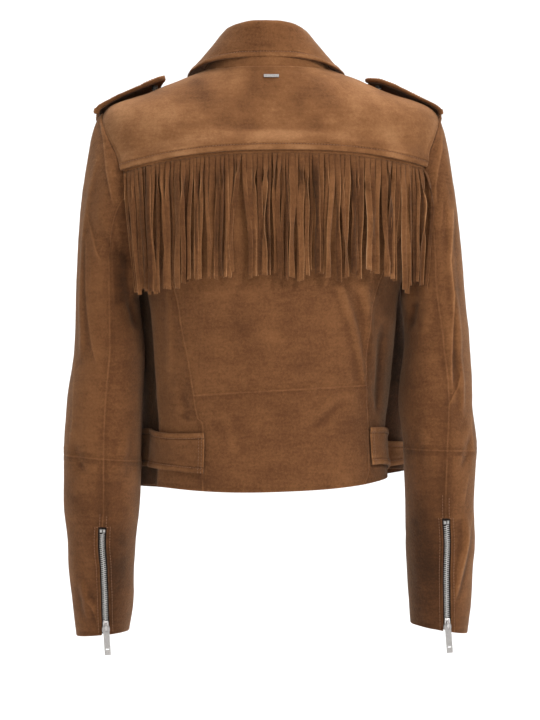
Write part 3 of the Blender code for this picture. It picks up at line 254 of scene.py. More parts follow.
# Finer creases than the solids carry.
TORSO_FOLDS += (
    (1.55, 0.262, 4.10, 0.128, 0.015, 0.0026, 0.40),
    (1.60, 0.302, 4.00, 0.170, 0.020, -0.0030, 0.40),
    (1.30, -0.270, 2.30, -0.285, 0.022, 0.0028, 0.40),
    (1.35, -0.268, 1.62, -0.310, 0.013, -0.0016, 0.12),
    (2.20, -0.340, 4.20, -0.300, 0.020, 0.0012, 0.50),
    (2.60, -0.030, 4.10, -0.070, 0.030, 0.0012, 0.40),
    (0.90, 0.060, 1.80, 0.170, 0.022, -0.0008, 0.30),
    (0.40, -0.120, 1.70, -0.160, 0.018, 0.0007, 0.40),
    (-0.90, -0.614, 1.50, -0.614, 0.050, 0.0034, 0.70),
)
SLEEVE_FOLDS[-1] += (
    (7.75, 6.35, 8.35, 5.60, 0.25, 0.0018, 0.20),
)
SLEEVE_FOLDS[1] += (
    (5.55, 6.95, 7.90, 5.65, 0.28, 0.0024, 0.50),
)


def folds(rows, u, v):
    """Height of the ridges at u round the form and v along it."""
    total = np.zeros(np.broadcast(u, v).shape)
    for v0, u0, v1, u1, width, height, fade in rows:
        centre = u0 + (u1 - u0) * np.clip((v - v0) / (v1 - v0), 0, 1)
        along = ramp((v - v0) / fade) * ramp((v1 - v) / fade)
        total = total + height * along * np.exp(-(((u - centre) / width) ** 2))
    return total


def nearer(y):
    """How much larger a thing at depth y is than it looks from behind."""
    return 1 + (y - READ_PLANE) / EYE_AWAY


def real_x(x, y):
    return EYE_AT[0] + (x - EYE_AT[0]) * nearer(y)


def real_z(z, y):
    return EYE_AT[1] + (z - EYE_AT[1]) * nearer(y)


def real_section(row):
    v, back_z, side_z, front_z, half, back, front, *rest = row
    return (v, real_z(back_z, -back), real_z(side_z, 0.0), front_z, half * nearer(0.0), back, front, *rest)


section = Smooth([real_section(row) for row in SECTIONS], level=False)


def torso(a, v, out=0.0):
    """The body's surface, pushed out by so much."""
    a, v = np.broadcast_arrays(np.asarray(a, float), np.asarray(v, float))
    back_z, side_z, front_z, half, back, front, square, shift, turn, tilt = np.moveaxis(section(v), -1, 0)
    sin, cos = np.sin(np.pi * a), np.cos(np.pi * a)
    x = half * power(sin, square)
    y = -np.where(cos > 0, back, front) * power(cos, square)
    side = np.clip(np.abs(x / half), 0, 1) ** 2.5
    z = np.where(cos > 0, back_z, front_z) * (1 - side) + side_z * side
    push = out + folds(TORSO_FOLDS, a, v)
    x = x + push * sin
    y = y - push * cos
    turn = np.radians(turn)
    turned = x * np.cos(turn) - y * np.sin(turn), x * np.sin(turn) + y * np.cos(turn)
    x = turned[0] + shift
    return np.stack([x, turned[1], z + tilt * x], axis=-1)


UP = np.array([0.0, 0.0, 1.0])


def unit(vectors):
    return vectors / np.maximum(np.linalg.norm(vectors, axis=-1, keepdims=True), 1e-12)


def normals(surface, u, v, end, step=1e-3):
    """Outward normals of surface(u, v), with v from 0 to its end."""
    u, v = np.broadcast_arrays(np.asarray(u, float), np.asarray(v, float))
    low, high = np.maximum(v - step, 0.0), np.minimum(v + step, end)
    along_u = surface(u + step, v) - surface(u - step, v)
    along_v = surface(u, high) - surface(u, low)
    return unit(np.cross(along_u, along_v))


def torso_normals(a, v):
    return normals(torso, a, v, NECK_V)


def sighted(points):
    """(x, z) of points as they look from behind, measured on the plane READ_PLANE."""
    away = (points[..., 1:2] - READ_PLANE + EYE_AWAY) / EYE_AWAY
    return (points[..., [0, 2]] - EYE_AT) / away + EYE_AT


def find(points):
    """The (a, v) of the torso's back where it is seen at these (x, z)."""
    a, v = np.meshgrid(np.linspace(-0.5, 0.5, 161), np.linspace(0.0, NECK_V, 181))
    grid = sighted(torso(a, v))
    found = []
    for point in np.array(points, float):
        miss = ((grid - point) ** 2).sum(axis=-1)
        i = np.unravel_index(miss.argmin(), miss.shape)
        here = np.array([a[i], v[i]])
        for _ in range(12):
            at = sighted(torso(*here))
            da = (sighted(torso(here[0] + 1e-4, here[1])) - at) / 1e-4
            dv = (sighted(torso(here[0], here[1] + 1e-4)) - at) / 1e-4
            turn = np.linalg.lstsq(np.stack([da, dv], axis=1), point - at, rcond=None)[0]
            here = here + np.clip(turn, (-0.02, -0.2), (0.02, 0.2))
        found.append(here)
    return np.array(found)


def seam(points):
    """a as a function of v along a seam read at (x, z)."""
    found = find(points)
    found = found[np.argsort(found[:, 1])]
    found[0, 1] = 0.0
    return Smooth(found[:, ::-1])


princess = {-1: seam(PRINCESS_LEFT), 1: seam(PRINCESS_RIGHT)}
front_edge = Smooth(FRONT_EDGE)


armhole_rows = {side: [(k, left if side < 0 else right, v) for k, left, right, v in ARMHOLE] for side in (-1, 1)}
# A curve for the back half and one for the front, so that the loop keeps its two corners.
armhole_curves = {side: (Smooth(rows[: SHOULDER + 1]), Smooth(rows[SHOULDER:])) for side, rows in armhole_rows.items()}


def armhole(side, k):
    """(a, v) at k round the armhole."""
    k = np.mod(np.asarray(k, float), K)
    back, front = armhole_curves[side]
    return np.where((k <= SHOULDER)[..., None], back(np.minimum(k, SHOULDER)), front(np.maximum(k, SHOULDER)))


def real_ring(row):
    w, z, x, half, y, *rest = row
    return (w, real_z(z, y), real_x(x, y), half * nearer(y), y, *rest)


ring = {side: Smooth([real_ring(row) for row in RINGS[side]]) for side in (-1, 1)}
leave = {side: Smooth([(*row[:1], *LEAVE_TOP[side]) if row[0] == 9 else row for row in LEAVE]) for side in (-1, 1)}


def sleeve_ring(side, k, w):
    z, x, half, y, depth, seam_at, rise = np.moveaxis(ring[side](np.maximum(w, 1.0)), -1, 0)
    k = np.mod(k, K)
    back = np.where(
        k <= BACK_SEAM,
        seam_at * k / BACK_SEAM,
        seam_at + (180 - seam_at) * (k - BACK_SEAM) / (SHOULDER - BACK_SEAM),
    )
    angle = np.radians(np.where(k <= SHOULDER, back, 180.0 * k / SHOULDER))
    cos, sin = np.cos(angle), np.sin(angle)
    push = folds(SLEEVE_FOLDS[side], k, w)
    return np.stack(
        [
            x - side * (half + push) * power(cos, 0.92),
            y - (depth + push) * power(sin, 0.92),
            z + rise * cos,
        ],
        axis=-1,
    )


def sleeve(side, k, w):
    """The sleeve's surface."""
    k, w = np.broadcast_arrays(np.asarray(k, float), np.asarray(w, float))
    low = sleeve_ring(side, k, w)
    at = armhole(side, k)
    start = torso(at[..., 0], at[..., 1])
    end = sleeve_ring(side, k, np.ones_like(w))
    after = sleeve_ring(side, k, np.full_like(w, 1.25))
    out, back, up, pull = np.moveaxis(leave[side](np.mod(k, K)), -1, 0)
    length = np.linalg.norm(end - start, axis=-1, keepdims=True)
    leaves = unit(np.stack([side * out, -back, up], axis=-1)) * length * pull[..., None]
    arrives = unit(after - end) * length * 0.9
    cap = cubic(np.clip(w, 0, 1)[..., None], start, leaves, end, arrives)
    return np.where((w < 1)[..., None], cap, low)


def sleeve_normals(side, k, w):
    return normals(lambda u, v: sleeve(side, u, v), k, w, CUFF_W, 2e-3) * -side


def pull_in(grid):
    """The grid with its four edges drawn in by half a gap."""
    made = grid.copy()
    made[0] += unit(grid[1] - grid[0]) * GAP / 2
    made[-1] += unit(grid[-2] - grid[-1]) * GAP / 2
    made[:, 0] += unit(grid[:, 1] - grid[:, 0]) * GAP / 2
    made[:, -1] += unit(grid[:, -2] - grid[:, -1]) * GAP / 2
    return made


def mitre(first, second):
    """Direction and length of the shared rim of two sheets with these normals."""
    middle = unit(first + second)
    share = np.maximum((middle * first).sum(axis=-1, keepdims=True), 0.6)
    return middle / share


def side_name(side):
    return "left" if side < 0 else "right"


# ---- trims ----
# Columns: a, bottom_v, top_v
BELTS = {
    -1: (
        (-0.2165, 0.30, 1.05), (-0.260, 0.31, 1.05), (-0.300, 0.32, 1.06), (-0.350, 0.33, 1.07), (-0.400, 0.34, 1.10),
        (-0.450, 0.35, 1.13), (-0.500, 0.36, 1.17), (-0.550, 0.37, 1.20), (-0.600, 0.38, 1.21), (-0.650, 0.39, 1.16),
        (-0.700, 0.40, 1.09),
    ),
    1: (
        (0.270, 0.33, 1.05), (0.310, 0.32, 1.05), (0.350, 0.30, 1.05), (0.390, 0.27, 1.04), (0.430, 0.24, 1.01),
        (0.470, 0.26, 0.93), (0.510, 0.29, 0.86), (0.560, 0.34, 0.81), (0.610, 0.40, 0.80), (0.660, 0.44, 0.80),
        (0.710, 0.46, 0.80), (0.745, 0.48, 0.79), (0.760, 0.55, 0.72),
    ),
}
# Columns: x, z, half_width, drop; the drop is the front edge's
EPAULETTES = {
    -1: (
        (-0.2055, -0.0585, 0.0185, 0.0080), (-0.2040, -0.0528, 0.0195, 0.0080), (-0.1970, -0.0465, 0.0200, 0.0075),
        (-0.1764, -0.0348, 0.0200, 0.0050), (-0.1500, -0.0238, 0.0195, 0.0070), (-0.1320, -0.0163, 0.0185, 0.0080),
        (-0.1260, -0.0142, 0.0120, 0.0060), (-0.1236, -0.0134, 0.0050, 0.0050),
    ),
    1: (
        (0.2085, -0.0582, 0.0185, 0.0080), (0.2070, -0.0525, 0.0195, 0.0080), (0.1990, -0.0455, 0.0200, 0.0055),
        (0.1750, -0.0340, 0.0200, 0.0040), (0.1480, -0.0215, 0.0195, 0.0078), (0.1290, -0.0160, 0.0185, 0.0070),
        (0.1200, -0.0155, 0.0120, 0.0026), (0.1171, -0.0163, 0.0050, 0.0020),
    ),
}
EPAULETTE_THICK, EPAULETTE_WIDTH, EPAULETTE_STEP = 0.0040, 0.040, 0.0025
EPAULETTE_Y = {-1: -0.0050, 1: 0.0050}
# Columns: x, z
FRINGE_TIPS = (
    (-0.1580, -0.2740), (-0.1480, -0.2710), (-0.1325, -0.2700), (-0.1160, -0.2665), (-0.0975, -0.2630),
    (-0.0820, -0.2580), (-0.0680, -0.2560), (-0.0410, -0.2550), (-0.0230, -0.2550), (0.0105, -0.2535),
    (0.0370, -0.2570), (0.0530, -0.2510), (0.0700, -0.2530), (0.0900, -0.2545), (0.1250, -0.2530),
    (0.1500, -0.2570), (0.1650, -0.2700), (0.1770, -0.2600), (0.1865, -0.2665),
)

# ---- fine layout ----
STEP = 0.0030  # grid spacing away from a panel's edges
TOPSTITCH = 0.0072  # from an edge to its line of stitches
EDGE_STATIONS = (0.0, 0.0004, 0.0009, 0.0015, 0.0022, 0.0032, 0.0044, 0.0058, 0.0070, 0.0078, 0.0090, 0.0110)


def noise(points, size, seed=0):
    """Smooth noise from -1 to 1 at these points, with features of about this size."""
    q = points / size + seed * 7.31
    cell = np.floor(q).astype(np.int64)
    f = q - cell
    f = f * f * (3 - 2 * f)
    total = np.zeros(points.shape[:-1])
    for corner in np.ndindex(2, 2, 2):
        i, j, k = (cell[..., n] + corner[n] for n in range(3))
        mixed = (i * 73856093) ^ (j * 19349663) ^ (k * 83492791) ^ (seed * 2654435)
        mixed = (mixed ^ (mixed >> 13)) * 1274126177
        value = ((mixed ^ (mixed >> 16)) & 0xFFFF) / 32767.5 - 1
        share = np.ones(points.shape[:-1])
        for n in range(3):
            share = share * (f[..., n] if corner[n] else 1 - f[..., n])
        total = total + share * value
    return total


def lengths(points, axis):
    """Length along the grid from its start, along this axis."""
    step = np.linalg.norm(np.diff(points, axis=axis), axis=-1)
    zero = np.zeros_like(np.take(step, [0], axis=axis))
    return np.concatenate([zero, np.cumsum(step, axis=axis)], axis=axis)


def stations(width, longest, step=STEP):
    """Places across this width, close together by both edges; as many for every width up to longest."""
    near = np.array(EDGE_STATIONS)
    near = near[near < longest * 0.3]
    inner = max(int((longest - 2 * near[-1]) / step), 2)
    width = np.asarray(width, float)[..., None]
    fit = np.minimum(1.0, width * 0.3 / near[-1])
    left = near * fit
    share = np.linspace(0, 1, inner + 1)[1:-1]
    middle = left[..., -1:] + (width - 2 * left[..., -1:]) * share
    return np.concatenate([left, middle, width - left[..., ::-1]], axis=-1)


def spaced(line, step=STEP):
    """(its length along it at each point, the stations along it) of a line of points."""
    arc = lengths(line[None], 1)[0]
    return arc, stations(arc[-1], arc[-1], step)


def lay(surface, low, high, left, right, rows=()):
    """(u, v) of a fine grid over v from low to high between the curves left(v) and right(v), with these rows too."""
    t = np.linspace(low, high, 241)
    arc, at = spaced(surface((left(t) + right(t)) / 2, t))
    v = np.sort(np.concatenate([np.interp(at, arc, t), rows]))
    a, b = left(v)[:, None], right(v)[:, None]
    u = a + (b - a) * np.linspace(0, 1, 61)
    arc = lengths(surface(u, v[:, None]), 1)
    at = stations(arc[:, -1], arc[:, -1].max())
    u = np.array([np.interp(at[r], arc[r], u[r]) for r in range(len(v))])
    return u, np.broadcast_to(v[:, None], u.shape).copy()


def places_along(line, outs, places):
    """(point, direction along, outward direction) at each of these lengths along a line."""
    arc = lengths(line[None], 1)[0]
    for place in places(arc[-1]):
        at, ahead = (np.array([np.interp(d, arc, line[:, n]) for n in range(3)]) for d in (place, place + 0.001))
        yield at, unit(ahead - at), unit(np.array([np.interp(place, arc, outs[:, n]) for n in range(3)]))


def edge_distances(points):
    """Distance of each grid point from the bottom, top, left and right edges."""
    up, across = lengths(points, 0), lengths(points, 1)
    return {"bottom": up, "top": up[-1:] - up, "left": across, "right": across[:, -1:] - across}


def bell(x, centre, width):
    return np.exp(-(((x - centre) / width) ** 2))


# Beside each kind of edge: bells of height and of tone, each (amount, distance in, width), and how the layers under it
# raise it, as (height, reach, fade). The tone bells are painted highlight on raised edges and bands and painted shade
# in grooves and stitch lines, partly the edges' own wear. A ditch is a seam whose painted shade shows dark.
EDGE_FORMS = {
    "seam": (
        ((-0.0002, 0, 0.0006), (0.0002, 0.0026, 0.0026)),
        ((0.100, 0.0003, 0.0006), (-0.030, 0.0024, 0.0012)),
        (0, 1, 1),
    ),
    "ditch": (
        ((-0.0005, 0, 0.0006), (0.0003, 0.0030, 0.0030)),
        ((-0.07, 0, 0.0005), (0.055, 0.0014, 0.0011)),
        (0, 1, 1),
    ),
    "lapped": (
        ((-0.0005, 0, 0.0006), (-0.0003, TOPSTITCH, 0.0010), (0.0002, 0.0035, 0.002)),
        ((-0.07, 0, 0.0005), (0.045, 0.0018, 0.0014), (-0.02, 0.0074, 0.0009), (0.02, 0.0095, 0.0016)),
        (0.0004, 0.0105, 0.004),
    ),
    "bold": (
        ((-0.0005, 0, 0.0006), (-0.0009, TOPSTITCH, 0.0008), (0.0003, 0.0036, 0.0020)),
        ((-0.07, 0, 0.0005), (0.110, 0.0026, 0.0030), (-0.18, TOPSTITCH, 0.0006), (0.055, 0.0096, 0.0014)),
        (0.0008, 0.0095, 0.003),
    ),
    "free": (((-0.0007, 0, 0.0007),), ((0.10, 0.0004, 0.0010),), (0, 1, 1)),
}


def edge_form(distance, kind):
    """(height, tone) beside an edge; the tone is painted highlight and painted shade, partly wear."""
    heights, tones, (under, reach, fade) = EDGE_FORMS[kind]
    height, tone = under * ramp((reach - distance) / fade), 0.0
    for amount, centre, width in heights:
        height = height + amount * bell(distance, centre, width)
    for amount, centre, width in tones:
        tone = tone + amount * bell(distance, centre, width)
    return height, tone


def pucker(points, distance):
    """The drawn-in look beside a stitched line."""
    wave = noise(points, 0.0085, 3) + 0.6 * noise(points, 0.0045, 4)
    return 0.00042 * wave * ramp((0.020 - distance) / 0.012)


def shape_detail(points, distances, kinds):
    """(height, tone) over a panel: its edges, the draw of its stitches and the unevenness of the hide; its tone is the
    painted highlight and painted shade of the edges and dents.
    """
    long = points * np.array([1.0, 1.0, 0.45])
    height = 0.0011 * noise(long, 0.040, 1) + 0.0005 * noise(long, 0.019, 5) + 0.00022 * noise(points, 0.010, 2)
    tone = np.zeros(points.shape[:-1])
    for edge, kind in kinds.items():
        if kind == "none":
            continue
        h, t = edge_form(distances[edge], kind)
        height, tone = height + h, tone + t * (1 + 0.7 * noise(points, 0.012, 6))
        if kind != "free":
            height = height + pucker(points, distances[edge])
    soft = dents(points)
    return height + soft[0], tone + soft[1]


def grid_normals(points):
    return unit(np.cross(np.gradient(points, axis=1), np.gradient(points, axis=0)))


# ---- meshes ----
def new_piece(name, points, faces, material, tone=None, smooth=True, fold=()):
    """A mesh piece on the jacket's body. tone says how light it is, fold how it lies to a sharp fold, at each point."""
    mesh = bpy.data.meshes.new(name)
    mesh.from_pydata(np.asarray(points, float).tolist(), [], list(map(list, faces)))
    for layer_name, values in zip(("tone", "fold_at", "fold_by"), (tone, *fold)):
        if values is not None:
            layer = mesh.attributes.new(layer_name, "FLOAT", "POINT")
            layer.data.foreach_set("value", np.asarray(values, np.float32))
    mesh.materials.append(material)
    if smooth:
        mesh.polygons.foreach_set("use_smooth", np.ones(len(mesh.polygons), bool))
    obj = bpy.data.objects.new(name, mesh)
    bpy.context.scene.collection.objects.link(obj)
    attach(obj, "jacket")
    return obj


def closed_sheet(outer, inner):
    """Points and faces of a closed sheet between two grids."""
    rows, columns = outer.shape[:2]
    points = np.concatenate([outer.reshape(-1, 3), inner.reshape(-1, 3)])
    index = np.arange(rows * columns).reshape(rows, columns)
    a, b, c, d = index[:-1, :-1], index[:-1, 1:], index[1:, 1:], index[1:, :-1]
    front = np.stack([a, b, c, d], axis=-1).reshape(-1, 4)
    faces = [front, front[:, ::-1] + rows * columns]
    ring = np.concatenate([index[0, :-1], index[:-1, -1], index[-1, :0:-1], index[:0:-1, 0]])
    after = np.roll(ring, -1)
    faces.append(np.stack([ring, ring + rows * columns, after + rows * columns, after], axis=-1))
    return points, np.concatenate(faces)


def loft(first, rings, around, turned=False):
    """Faces of a closed form whose rings of so many points follow each other from this point on."""
    faces = []
    for r in range(rings - 1):
        for c in range(around):
            p, q = first + r * around + c, first + r * around + (c + 1) % around
            faces.append((p, q, q + around, p + around))
    faces.append(tuple(range(first, first + around))[::-1])
    faces.append(tuple(range(first + (rings - 1) * around, first + rings * around)))
    return [face[::-1] for face in faces] if turned else faces


def orient(points, faces):
    """The faces turned, if need be, to face out of the closed piece."""
    p = points - points.mean(axis=0)
    first, second, third, fourth = (p[faces[:, n]] for n in range(4))
    volume = (first * np.cross(second, third)).sum() + (first * np.cross(third, fourth)).sum()
    return faces if volume > 0 else faces[:, ::-1]


# ---- sharp folds and soft dents, with their painted highlights and painted shade, on (x, z) as seen from behind ----
# Each fold: how much lighter its edge is painted (a painted highlight, with painted shade on its low side), which side
# of it is raised going down (1 right, -1 left), its course.
FOLD_LINES = (
    (0.150, 1, (
        (-0.2040, -0.0620), (-0.2015, -0.0680), (-0.1980, -0.0890), (-0.1944, -0.1250), (-0.1896, -0.1490),
        (-0.1860, -0.1680),
    )),
    (0.100, -1, ((-0.2184, -0.1730), (-0.2130, -0.1950), (-0.2064, -0.2210), (-0.1990, -0.2370))),
    (0.120, 1, (
        (-0.2184, -0.1990), (-0.2184, -0.2340), (-0.2180, -0.2690), (-0.2155, -0.3030), (-0.2110, -0.3370),
        (-0.2050, -0.3610),
    )),
    (0.080, 1, ((-0.2320, -0.3480), (-0.2350, -0.4250), (-0.2400, -0.4640))),
    (0.090, 1, ((-0.2230, -0.6380), (-0.2110, -0.6510), (-0.2060, -0.6650), (-0.2040, -0.6780))),
    (0.120, -1, ((0.2088, -0.0760), (0.2088, -0.1010), (0.2040, -0.1250), (0.2016, -0.1440), (0.2016, -0.1700))),
    (0.090, -1, ((0.2100, -0.1540), (0.2090, -0.1820), (0.2060, -0.2020))),
    (0.200, -1, (
        (0.2220, -0.1660), (0.2214, -0.2090), (0.2196, -0.2330), (0.2215, -0.2570), (0.2236, -0.2750),
        (0.2232, -0.2930), (0.2208, -0.3290), (0.2204, -0.3530), (0.2208, -0.3740), (0.2232, -0.3900),
    )),
    (0.140, 1, ((0.2330, -0.3640), (0.2280, -0.3850), (0.2200, -0.4010), (0.2130, -0.4130))),
    (0.110, -1, ((0.2436, -0.4130), (0.2448, -0.4460), (0.2484, -0.4720))),
    (0.110, -1, ((0.2412, -0.4870), (0.2376, -0.5110), (0.2340, -0.5330))),
    (0.150, -1, ((0.2448, -0.5400), (0.2400, -0.5800), (0.2304, -0.6190), (0.2232, -0.6450))),
)
FOLD_REACH = 0.012  # a fold's look ends this far from its edge
FOLD_HEIGHT = 0.009  # of its raised side, where its edge's painted highlight is 1
MARKED_TO = 0.045  # folds and dents go no further round the front than this y
WEAR_AND_SHADE_TO = 0.02  # and painted shade, painted light and wear no further than this
# Columns: x, z, half_long, half_wide, degrees, height, lighter; lighter is painted highlight, negative is painted shade
DENTS = (
    (-0.1848, -0.2196, 0.026, 0.0060, -40, -0.0026, -0.060),
    (-0.1824, -0.2390, 0.020, 0.0060, -25, 0.0018, 0.030),
    (-0.1930, -0.1940, 0.020, 0.0065, -50, 0.0014, 0.015),
    (-0.1896, -0.3130, 0.020, 0.0065, -20, -0.0020, -0.045),
    (-0.1810, -0.3470, 0.016, 0.0085, 10, 0.0018, 0.030),
    (-0.2090, -0.1010, 0.040, 0.0080, 75, -0.0010, -0.040),
    (-0.1890, -0.0890, 0.032, 0.0080, -75, 0.0008, 0.045),
    (-0.1980, -0.4400, 0.020, 0.0080, 60, -0.0008, -0.020),
    (0.2064, -0.2180, 0.020, 0.0100, 60, -0.0012, -0.030),
    (0.2148, -0.2090, 0.020, 0.0055, 80, -0.0014, -0.050),
    (0.1872, -0.3100, 0.028, 0.0055, 76, 0.0018, 0.045),
    (0.1700, -0.3110, 0.030, 0.0090, 80, -0.0007, -0.035),
    (0.2328, -0.3530, 0.020, 0.0060, 70, -0.0010, -0.030),
    (0.2100, -0.4580, 0.018, 0.0070, 10, -0.0008, -0.020),
)


def signed_distances(seen, course):
    """Distance of these points from a course, positive on its right going down, and how far in from its ends."""
    course = np.array(course)
    best = np.full(seen.shape[:-1], 9.0)
    signed, place = best.copy(), np.zeros_like(best)
    start = 0.0
    for p, q in zip(course[:-1], course[1:]):
        long = np.linalg.norm(q - p)
        along = (q - p) / long
        s = np.clip(((seen - p) * along).sum(axis=-1), 0, long)
        off = seen - p - s[..., None] * along
        distance = np.linalg.norm(off, axis=-1)
        side = np.sign(off[..., 1] * along[0] - off[..., 0] * along[1])
        closer = distance < best
        best = np.where(closer, distance, best)
        signed = np.where(closer, side * distance, signed)
        place = np.where(closer, start + s, place)
        start += long
    return signed, np.minimum(place, start - place)


def sharp_folds(points):
    """(distance to the nearest sharp fold, positive on its raised side, how strong it is here) of each point."""
    seen = sighted(points)
    at, strong = np.full(points.shape[:-1], FOLD_REACH), np.zeros(points.shape[:-1])
    for light, raised, course in FOLD_LINES:
        signed, inside = signed_distances(seen, course)
        near = np.abs(signed) < np.abs(at)
        at = np.where(near, signed * raised, at)
        here = light * ramp(inside / 0.014) * ramp((0.010 - np.abs(signed)) / 0.004)
        strong = np.where(near, here, strong)
    behind = points[..., 1] < MARKED_TO
    return np.clip(at, -FOLD_REACH, FOLD_REACH), np.where(behind, strong, 0.0)


def dents(points):
    """(height, tone) of the soft dents; the tone is painted shade in a dent and painted highlight on a rise."""
    seen = sighted(points)
    height, tone = np.zeros(points.shape[:-1]), np.zeros(points.shape[:-1])
    for x, z, half_long, half_wide, degrees, high, lighter in DENTS:
        off = seen - np.array([x, z])
        c, s = math.cos(math.radians(degrees)), math.sin(math.radians(degrees))
        along, across = off[..., 0] * c + off[..., 1] * s, off[..., 1] * c - off[..., 0] * s
        share = np.exp(-((along / half_long) ** 2) - (across / half_wide) ** 2)
        height, tone = height + high * share, tone + lighter * share
    behind = points[..., 1] < MARKED_TO
    return np.where(behind, height, 0.0), np.where(behind, tone, 0.0)


# ---- suede ----
def ramp_colours(tree, stops):
    node = tree.nodes.new("ShaderNodeValToRGB")
    elements = node.color_ramp.elements
    while len(elements) < len(stops):
        elements.new(0.5)
    for element, (place, colour) in zip(elements, stops):
        element.position = place
        element.color = (*colour, 1.0)
    return node


def colour_by(tree, value, stops, socket):
    """Feeds a socket with the colours that these stops give a value."""
    colours = ramp_colours(tree, stops)
    tree.links.new(value, colours.inputs["Fac"])
    tree.links.new(colours.outputs["Color"], socket)


def new_shader(name, settings):
    """(material, node tree, shader, the piece's own coordinates) of a new material with these settings."""
    made = bpy.data.materials.new(name)
    made.use_nodes = True
    tree = made.node_tree
    shader = tree.nodes["Principled BSDF"]
    for setting, value in settings.items():
        shader.inputs[setting].default_value = value
    return made, tree, shader, tree.nodes.new("ShaderNodeTexCoord").outputs["Object"]


def noise_node(tree, coordinates, scale, detail=2.0, roughness=0.5):
    node = tree.nodes.new("ShaderNodeTexNoise")
    node.inputs["Scale"].default_value = scale
    node.inputs["Detail"].default_value = detail
    node.inputs["Roughness"].default_value = roughness
    tree.links.new(coordinates, node.inputs["Vector"])
    return node.outputs["Fac"]


def math_node(tree, operation, first, second, third=None):
    node = tree.nodes.new("ShaderNodeMath")
    node.operation = operation
    for place, value in enumerate((first, second, third)):
        if value is None:
            continue
        if isinstance(value, (int, float)):
            node.inputs[place].default_value = value
        else:
            tree.links.new(value, node.inputs[place])
    return node.outputs[0]


TAPE_STOPS = ((0.0, (0.010, 0.006, 0.004)), (1.0, (0.050, 0.030, 0.019)))
THREAD_STOPS = ((0.3, (0.150, 0.062, 0.024)), (0.7, (0.290, 0.135, 0.058)))
# The hide's colour by its tone, from 0 to 1.
SUEDE_STOPS = (
    (0.00, (0.012, 0.0045, 0.0018)),
    (0.20, (0.045, 0.0165, 0.0058)),
    (0.40, (0.110, 0.0420, 0.0150)),
    (0.60, (0.205, 0.0850, 0.0310)),
    (0.80, (0.330, 0.1570, 0.0670)),
    (1.00, (0.480, 0.2700, 0.1400)),
)
# Scale of the mottling per metre, and how much of the tone it moves.
MOTTLE = ((9.0, 0.12), (26.0, 0.10), (90.0, 0.06), (360.0, 0.11), (1500.0, 0.16))
CLOUDY = ((10.0, 0.24), (22.0, 0.20), (60.0, 0.08), (300.0, 0.10), (1500.0, 0.14))
BRUSHED = (45.0, 0.07)  # the same for mottling that is wider than it is high
BRUSH_STRETCH = (1.0, 1.0, 5.0)
NAP = (0.0007, 0.0005, 0.00035)  # height of the three finest mottlings
SUEDE_FINISH = {
    "Roughness": 0.95, "Specular IOR Level": 0.12, "Sheen Weight": 0.22, "Sheen Roughness": 0.55,
    "Sheen Tint": (0.75, 0.50, 0.32, 1.0),
}
# Painted highlight and painted shade across a sharp fold: (millimetres from its edge, raised side positive; 0.5 leaves
# the tone as it is).
FOLD_STOPS = (
    (-12, 0.5), (-6, 0.42), (-1.6, 0.20), (-0.6, 0.45), (0.1, 1.0), (0.9, 0.92), (2.2, 0.66), (7, 0.54), (12, 0.5),
)


def sharp_fold_light_and_shade(tree):
    """How much lighter a fold's painted highlight and darker its painted shade make the hide."""
    at, by = tree.nodes.new("ShaderNodeAttribute"), tree.nodes.new("ShaderNodeAttribute")
    at.attribute_name, by.attribute_name = "fold_at", "fold_by"
    place = math_node(tree, "MULTIPLY_ADD", at.outputs["Fac"], 0.5 / FOLD_REACH, 0.5)
    look = ramp_colours(tree, [(0.5 + mm / (2000 * FOLD_REACH), (grey,) * 3) for mm, grey in FOLD_STOPS])
    tree.links.new(place, look.inputs["Fac"])
    shift = math_node(tree, "MULTIPLY_ADD", look.outputs["Color"], 2.0, -1.0)
    return math_node(tree, "MULTIPLY", shift, by.outputs["Fac"])


def suede_material(name, bump=1.0, mottle=MOTTLE):
    made, tree, shader, coordinates = new_shader(name, SUEDE_FINISH)
    tone = tree.nodes.new("ShaderNodeAttribute")
    tone.attribute_name = "tone"
    total = tone.outputs["Fac"]
    heights = []
    brushed = tree.nodes.new("ShaderNodeVectorMath")
    brushed.operation = "MULTIPLY"
    brushed.inputs[1].default_value = BRUSH_STRETCH
    tree.links.new(coordinates, brushed.inputs[0])
    layers = [(coordinates, *row) for row in mottle] + [(brushed.outputs[0], *BRUSHED)]
    for where, scale, strength in layers:
        fac = noise_node(tree, where, scale, 2.0 if scale < 50 else 3.0, 0.55)
        heights.append(fac)
        total = math_node(tree, "MULTIPLY_ADD", math_node(tree, "SUBTRACT", fac, 0.5), strength * 2, total)
    total = math_node(tree, "ADD", total, sharp_fold_light_and_shade(tree))
    colour_by(tree, total, SUEDE_STOPS, shader.inputs["Base Color"])
    last = None
    for fac, distance in zip(heights[2:5], NAP):
        node = tree.nodes.new("ShaderNodeBump")
        node.inputs["Strength"].default_value = 0.8 * bump
        node.inputs["Distance"].default_value = distance
        tree.links.new(fac, node.inputs["Height"])
        if last is not None:
            tree.links.new(last, node.inputs["Normal"])
        last = node.outputs["Normal"]
    tree.links.new(last, shader.inputs["Normal"])
    return made


def metal_material(name, colour, roughness):
    """Metal, darker and rougher in spots."""
    made, tree, shader, coordinates = new_shader(name, {"Metallic": 1.0})
    fac = noise_node(tree, coordinates, 900.0, 4.0, 0.65)
    dull = tuple(c * 0.55 for c in colour)
    colour_by(tree, fac, ((0.25, dull), (0.62, colour)), shader.inputs["Base Color"])
    colour_by(tree, fac, ((0.3, (roughness + 0.18,) * 3), (0.7, (roughness,) * 3)), shader.inputs["Roughness"])
    return made


